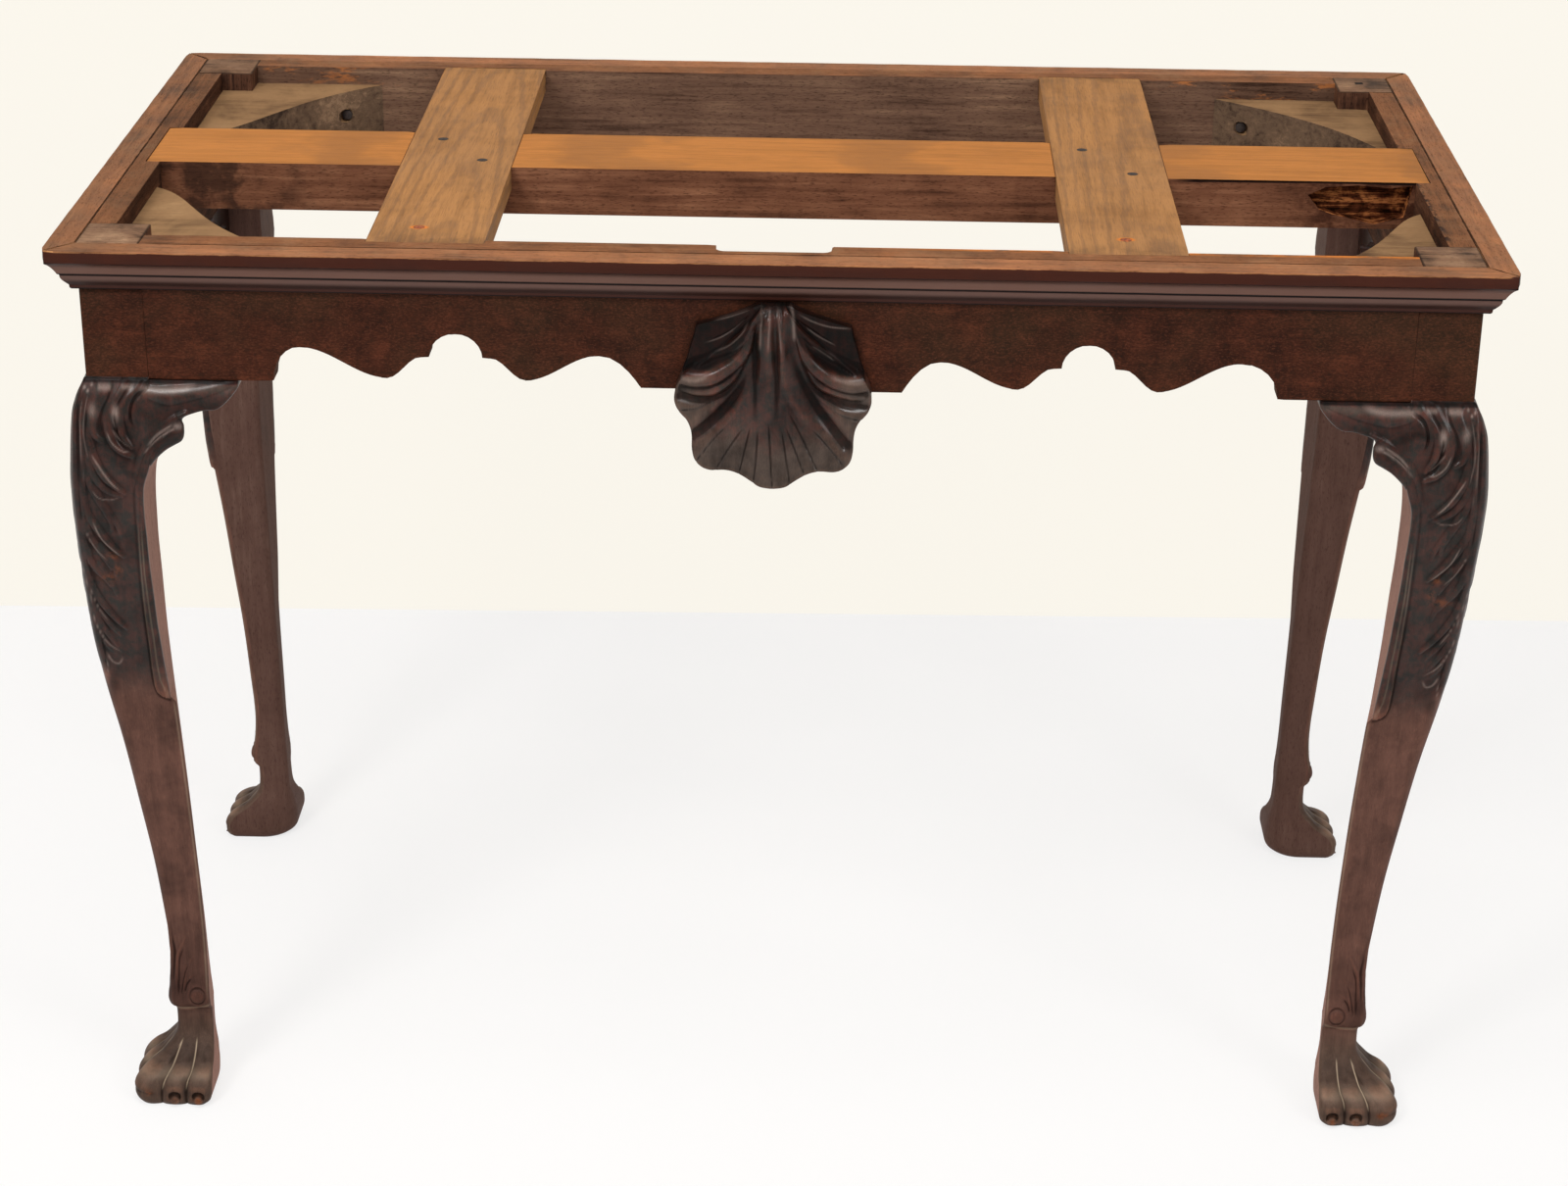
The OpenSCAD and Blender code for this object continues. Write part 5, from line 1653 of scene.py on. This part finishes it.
class TABLE_OT_mouldings(bpy.types.Operator):
    """Runs the four lengths of moulding and mitres their ends"""

    bl_idname = "side_table.mouldings"
    bl_label = "Mouldings"

    def execute(self, context):
        long_half, short_half = CAD_HIGH.x / MM, CAD_HIGH.y / MM
        for node, half, depth, turn in (
                ("front_moulding", long_half, short_half, 0),
                ("right_moulding", short_half, long_half, 90),
                ("back_moulding", long_half, short_half, 180),
                ("left_moulding", short_half, long_half, 270)):
            piece = self.length_of(node + "_run", half, depth, turn)
            letter = "x" if turn % 180 == 0 else "y"
            give(piece, [moulding_face(letter), moulding_top(letter)],
                 lambda middle, normal: 1 if normal.z > 0.6 and middle.z > TOP - 2 else 0)
            settle(piece, "mahogany_moulding", node)
        return {"FINISHED"}

    def length_of(self, name, half, depth, turn):
        """One length, run along the front, mitred, worn and turned to its side."""
        bpy.ops.object.select_all(action="DESELECT")
        bpy.ops.mesh.primitive_plane_add(size=1, location=(0, 0, 0))
        piece = bpy.context.object
        piece.name = piece.data.name = name
        bpy.ops.object.mode_set(mode="EDIT")
        sheet = bmesh.from_edit_mesh(piece.data)
        bmesh.ops.delete(sheet, geom=sheet.verts[:], context="VERTS")
        section = [sheet.verts.new((-half * MM, (-depth + MOULDING_OUT - out) * MM,
                                    (TOP - drop) * MM)) for out, drop in MOULDING_SECTION]
        face = sheet.faces.new(section)
        face.select_set(True)
        bmesh.update_edit_mesh(piece.data)
        bpy.ops.mesh.extrude_region_move(
            TRANSFORM_OT_translate={"value": (2 * half * MM, 0, 0)})
        back = (depth - MOULDING_OUT) * MM
        for side in (-1, 1):
            rear = (turn == 180) or (turn == 270 and side < 0) or (turn == 90 and side > 0)
            opening = CLOSE_MITRE + (sizes().mitre_gap / 2 if rear else 0)
            bpy.ops.mesh.select_all(action="SELECT")
            bpy.ops.mesh.bisect(
                plane_co=(side * ((half - MOULDING_OUT) * MM - opening), -back, 0),
                plane_no=(side * 1, 1, 0), use_fill=True, clear_outer=True)
        bpy.ops.mesh.select_all(action="SELECT")
        bpy.ops.mesh.normals_make_consistent(inside=False)
        bpy.ops.object.mode_set(mode="OBJECT")
        slice_along(piece, 0, 0.011)
        for v in piece.data.vertices:  # the table's corners are worn round
            near = half * MM - abs(v.co.x), depth * MM + v.co.y
            if max(near) < CORNER_ROUND:
                away = Vector((CORNER_ROUND - near[0], CORNER_ROUND - near[1]))
                if away.length > CORNER_ROUND:
                    shift = away - away.normalized() * CORNER_ROUND
                    v.co.x -= math.copysign(shift.x, v.co.x)
                    v.co.y += shift.y
        wear(piece, sizes().wear * 0.8, 0.03)
        piece.data.transform(Matrix.Rotation(math.radians(turn), 4, "Z"))
        smooth_edges(piece, 38)
        return piece


DECAY_LONG, DECAY_DEEP = 106, 14  # reach of the decayed pocket from the end and the face
FRONT_SCREW_Y = -0.22


class TABLE_OT_cross_members(bpy.types.Operator):
    """Finishes the centre stretcher, the two battens and their screws"""

    bl_idname = "side_table.cross_members"
    bl_label = "Cross members"

    def execute(self, context):
        self.stretcher()
        self.battens()
        iron = self.rust()
        for node, name in (("batten_screws", "batten_screw_heads"),
                           ("brace_screws", "brace_screw_heads")):
            piece = board(node, name)
            soften(piece, 0.0004)
            smooth_edges(piece, 35)
            give(piece, [iron])
            settle(piece, "iron_screws", node)
        return {"FINISHED"}

    def stretcher(self):
        stretcher = finished_board("centre_stretcher", "pine_stretcher", 0, 0.012, 0.0016)
        low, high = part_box("centre_stretcher")
        pine = colours().pine
        top = pine_wood("pine_top", scaled(pine, 0.5), pine, centre=(0, 0, 0.0), lean=3.0,
                        spacing=0.012, along="x", dirt=0.6)
        side = wood("stretcher_side", "x", "3a2116", "68422f", "8c6046", mottle=0.3, streak=0.5,
                    pores=0.5, rough=0.75, gloss=0.05, relief=0.5, extra=self.cracked)
        rot = wood("decayed_pine", "x", "0a0504", "4a2416", "a8683c", mottle=1.1, streak=1.3,
                   pores=0.8, rough=0.9, gloss=0.0, relief=1.0, mottle_size=55.0)
        front = low.y / MM

        def choose(middle, normal):
            inset = middle.y - front
            beside = middle.x > high.x / MM - DECAY_LONG and 0.4 < inset < DECAY_DEEP
            if beside and middle.z < TOP - 0.5:
                return 2
            return 0 if normal.z > 0.7 else 1

        give(stretcher, [top, side, rot], choose)
        settle(stretcher, "pine_stretcher", "centre_stretcher")

    def battens(self):
        for node, name, lean, spacing, centre in (
                ("left_batten", "left_pine_batten", 2.6, 0.0075, (0.262, 0, -0.742)),
                ("right_batten", "right_pine_batten", 0.9, 0.006, (-0.30, 0, -0.70))):
            piece = finished_board(node, name, 1, 0.012, 0.0012)
            low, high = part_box(node)
            middle = (low.x + high.x) / 2
            screw = middle - (9 * MM if node == "left_batten" else 0), FRONT_SCREW_Y
            face = pine_wood(name + "_face", (0.150, 0.066, 0.024), (0.40, 0.190, 0.066),
                             centre=centre, lean=lean, spacing=spacing, grey=0.2,
                             strength=0.36, extra=self.rust_round(*screw))
            give(piece, [face])
            settle(piece, "pine_battens", node)

    def cracked(self, f, base, roughness, height):
        """Dark crack under the upper edge on the right, and dark stains on the left."""
        drop = (TOP * MM - f.part(2)) * 1000
        wander = f.noise(f.stretched((0.12, 1, 1)), 60, 3, 0.6) * 5
        crack = (1 - drop.above(wander - 0.5, wander + 0.4)) * f.part(0).above(0.31, 0.34)
        stain = (1 - f.part(0).above(-0.46, -0.36)) * f.noise(f.place, 45, 4, 0.6).above(0.4, 0.6)
        rotten = f.part(0).above(0.39, 0.46) * f.noise(f.place, 60, 5, 0.7).above(0.42, 0.6)
        base = f.blend(rotten * 0.8, base, "2e160e")
        base = f.blend(crack, base, "120806")
        return f.blend(stain * 0.7, base, "1c1310"), roughness, height - crack * 2

    def rust_round(self, x, y):
        """Rust and dirt soaked into the wood round a screw, and dirt along the ends."""
        def stain(f, base, roughness, height):
            dx, dy = f.part(0) - x, f.part(1) - y
            away = (dx * dx + dy * dy * 2.5).maths("SQRT") * 1000
            ragged = f.noise(f.place, 240, 3, 0.6) * 4
            base = f.blend((1 - away.above(ragged + 3.0, ragged + 7.0)) * 0.9, base, "d0752a")
            end = f.part(1).maths("ABSOLUTE").above(0.225, 0.262)
            dirt = end * f.noise(f.place, 30, 4, 0.65).above(0.42, 0.6)
            return f.blend(dirt * 0.45, base, "4a3323"), roughness, height
        return stain

    def rust(self):
        f = Finish("rusty_iron")
        spots = f.noise(f.place, 420, 4, 0.6)
        rusty = 1 - f.part(1).above(-0.18, -0.15)
        base = f.blend(rusty, "2a1d17", "a8521f")
        base = f.blend(spots.above(0.4, 0.6) * 0.7, base, "1e130f")
        f.surface(Base_Color=base, Roughness=(spots * 0.3 + 0.55).held(), Metallic=0.1)
        f.bump(spots, 0.5, 0.0005)
        return f.material


class TABLE_OT_braces(bpy.types.Operator):
    """Finishes the four wavy corner braces"""

    bl_idname = "side_table.braces"
    bl_label = "Corner braces"

    def execute(self, context):
        top = wood("brace_top", "x", "4f3a2a", "8c6c4c", "a5835e", mottle=0.5, streak=0.2,
                   pores=0.2, rough=0.85, gloss=0.04, relief=0.3, mottle_size=14.0)
        edge = wood("brace_edge", "x", "2a1f19", "5c4838", "8a6e55", mottle=0.6, streak=0.4,
                    pores=0.4, rough=0.8, gloss=0.1, relief=0.4)
        for corner, _, _ in CORNERS:
            piece = board(corner + "_brace", corner + "_corner_brace")
            soften(piece, 0.003)
            slice_along(piece, 0, 0.012)
            wear(piece, 0.0012, 0.025)
            smooth_edges(piece, 40)
            give(piece, [top, edge], lambda middle, normal: 0 if normal.z > 0.6 else 1)
            settle(piece, "pine_braces", corner + "_brace")
        return {"FINISHED"}


class TABLE_PT_panel(bpy.types.Panel):
    """Lists the steps that build the table"""

    bl_idname = "TABLE_PT_panel"
    bl_label = "Side Table"
    bl_space_type = "VIEW_3D"
    bl_region_type = "UI"
    bl_category = "Side Table"

    def draw(self, context):
        for settings in (context.scene.table_sizes, context.scene.table_colours):
            for name in settings.bl_rna.properties.keys():
                if name not in ("rna_type", "name"):
                    self.layout.prop(settings, name)
        for step in STEPS:
            self.layout.operator(step.bl_idname)


STEPS = (
    TABLE_OT_stage, TABLE_OT_legs, TABLE_OT_ears, TABLE_OT_shell, TABLE_OT_rails,
    TABLE_OT_mouldings, TABLE_OT_cross_members, TABLE_OT_braces,
)
CLASSES = (TableSizes, TableColours, *STEPS, TABLE_PT_panel)


def register():
    for cls in CLASSES:
        bpy.utils.register_class(cls)
    bpy.types.Scene.table_sizes = PointerProperty(type=TableSizes)
    bpy.types.Scene.table_colours = PointerProperty(type=TableColours)


def unregister():
    del bpy.types.Scene.table_sizes
    del bpy.types.Scene.table_colours
    for cls in reversed(CLASSES):
        bpy.utils.unregister_class(cls)


def main():
    register()
    for step in STEPS:
        group, name = step.bl_idname.split(".")
        getattr(getattr(bpy.ops, group), name)()
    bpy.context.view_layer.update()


if __name__ == "__main__":
    main()
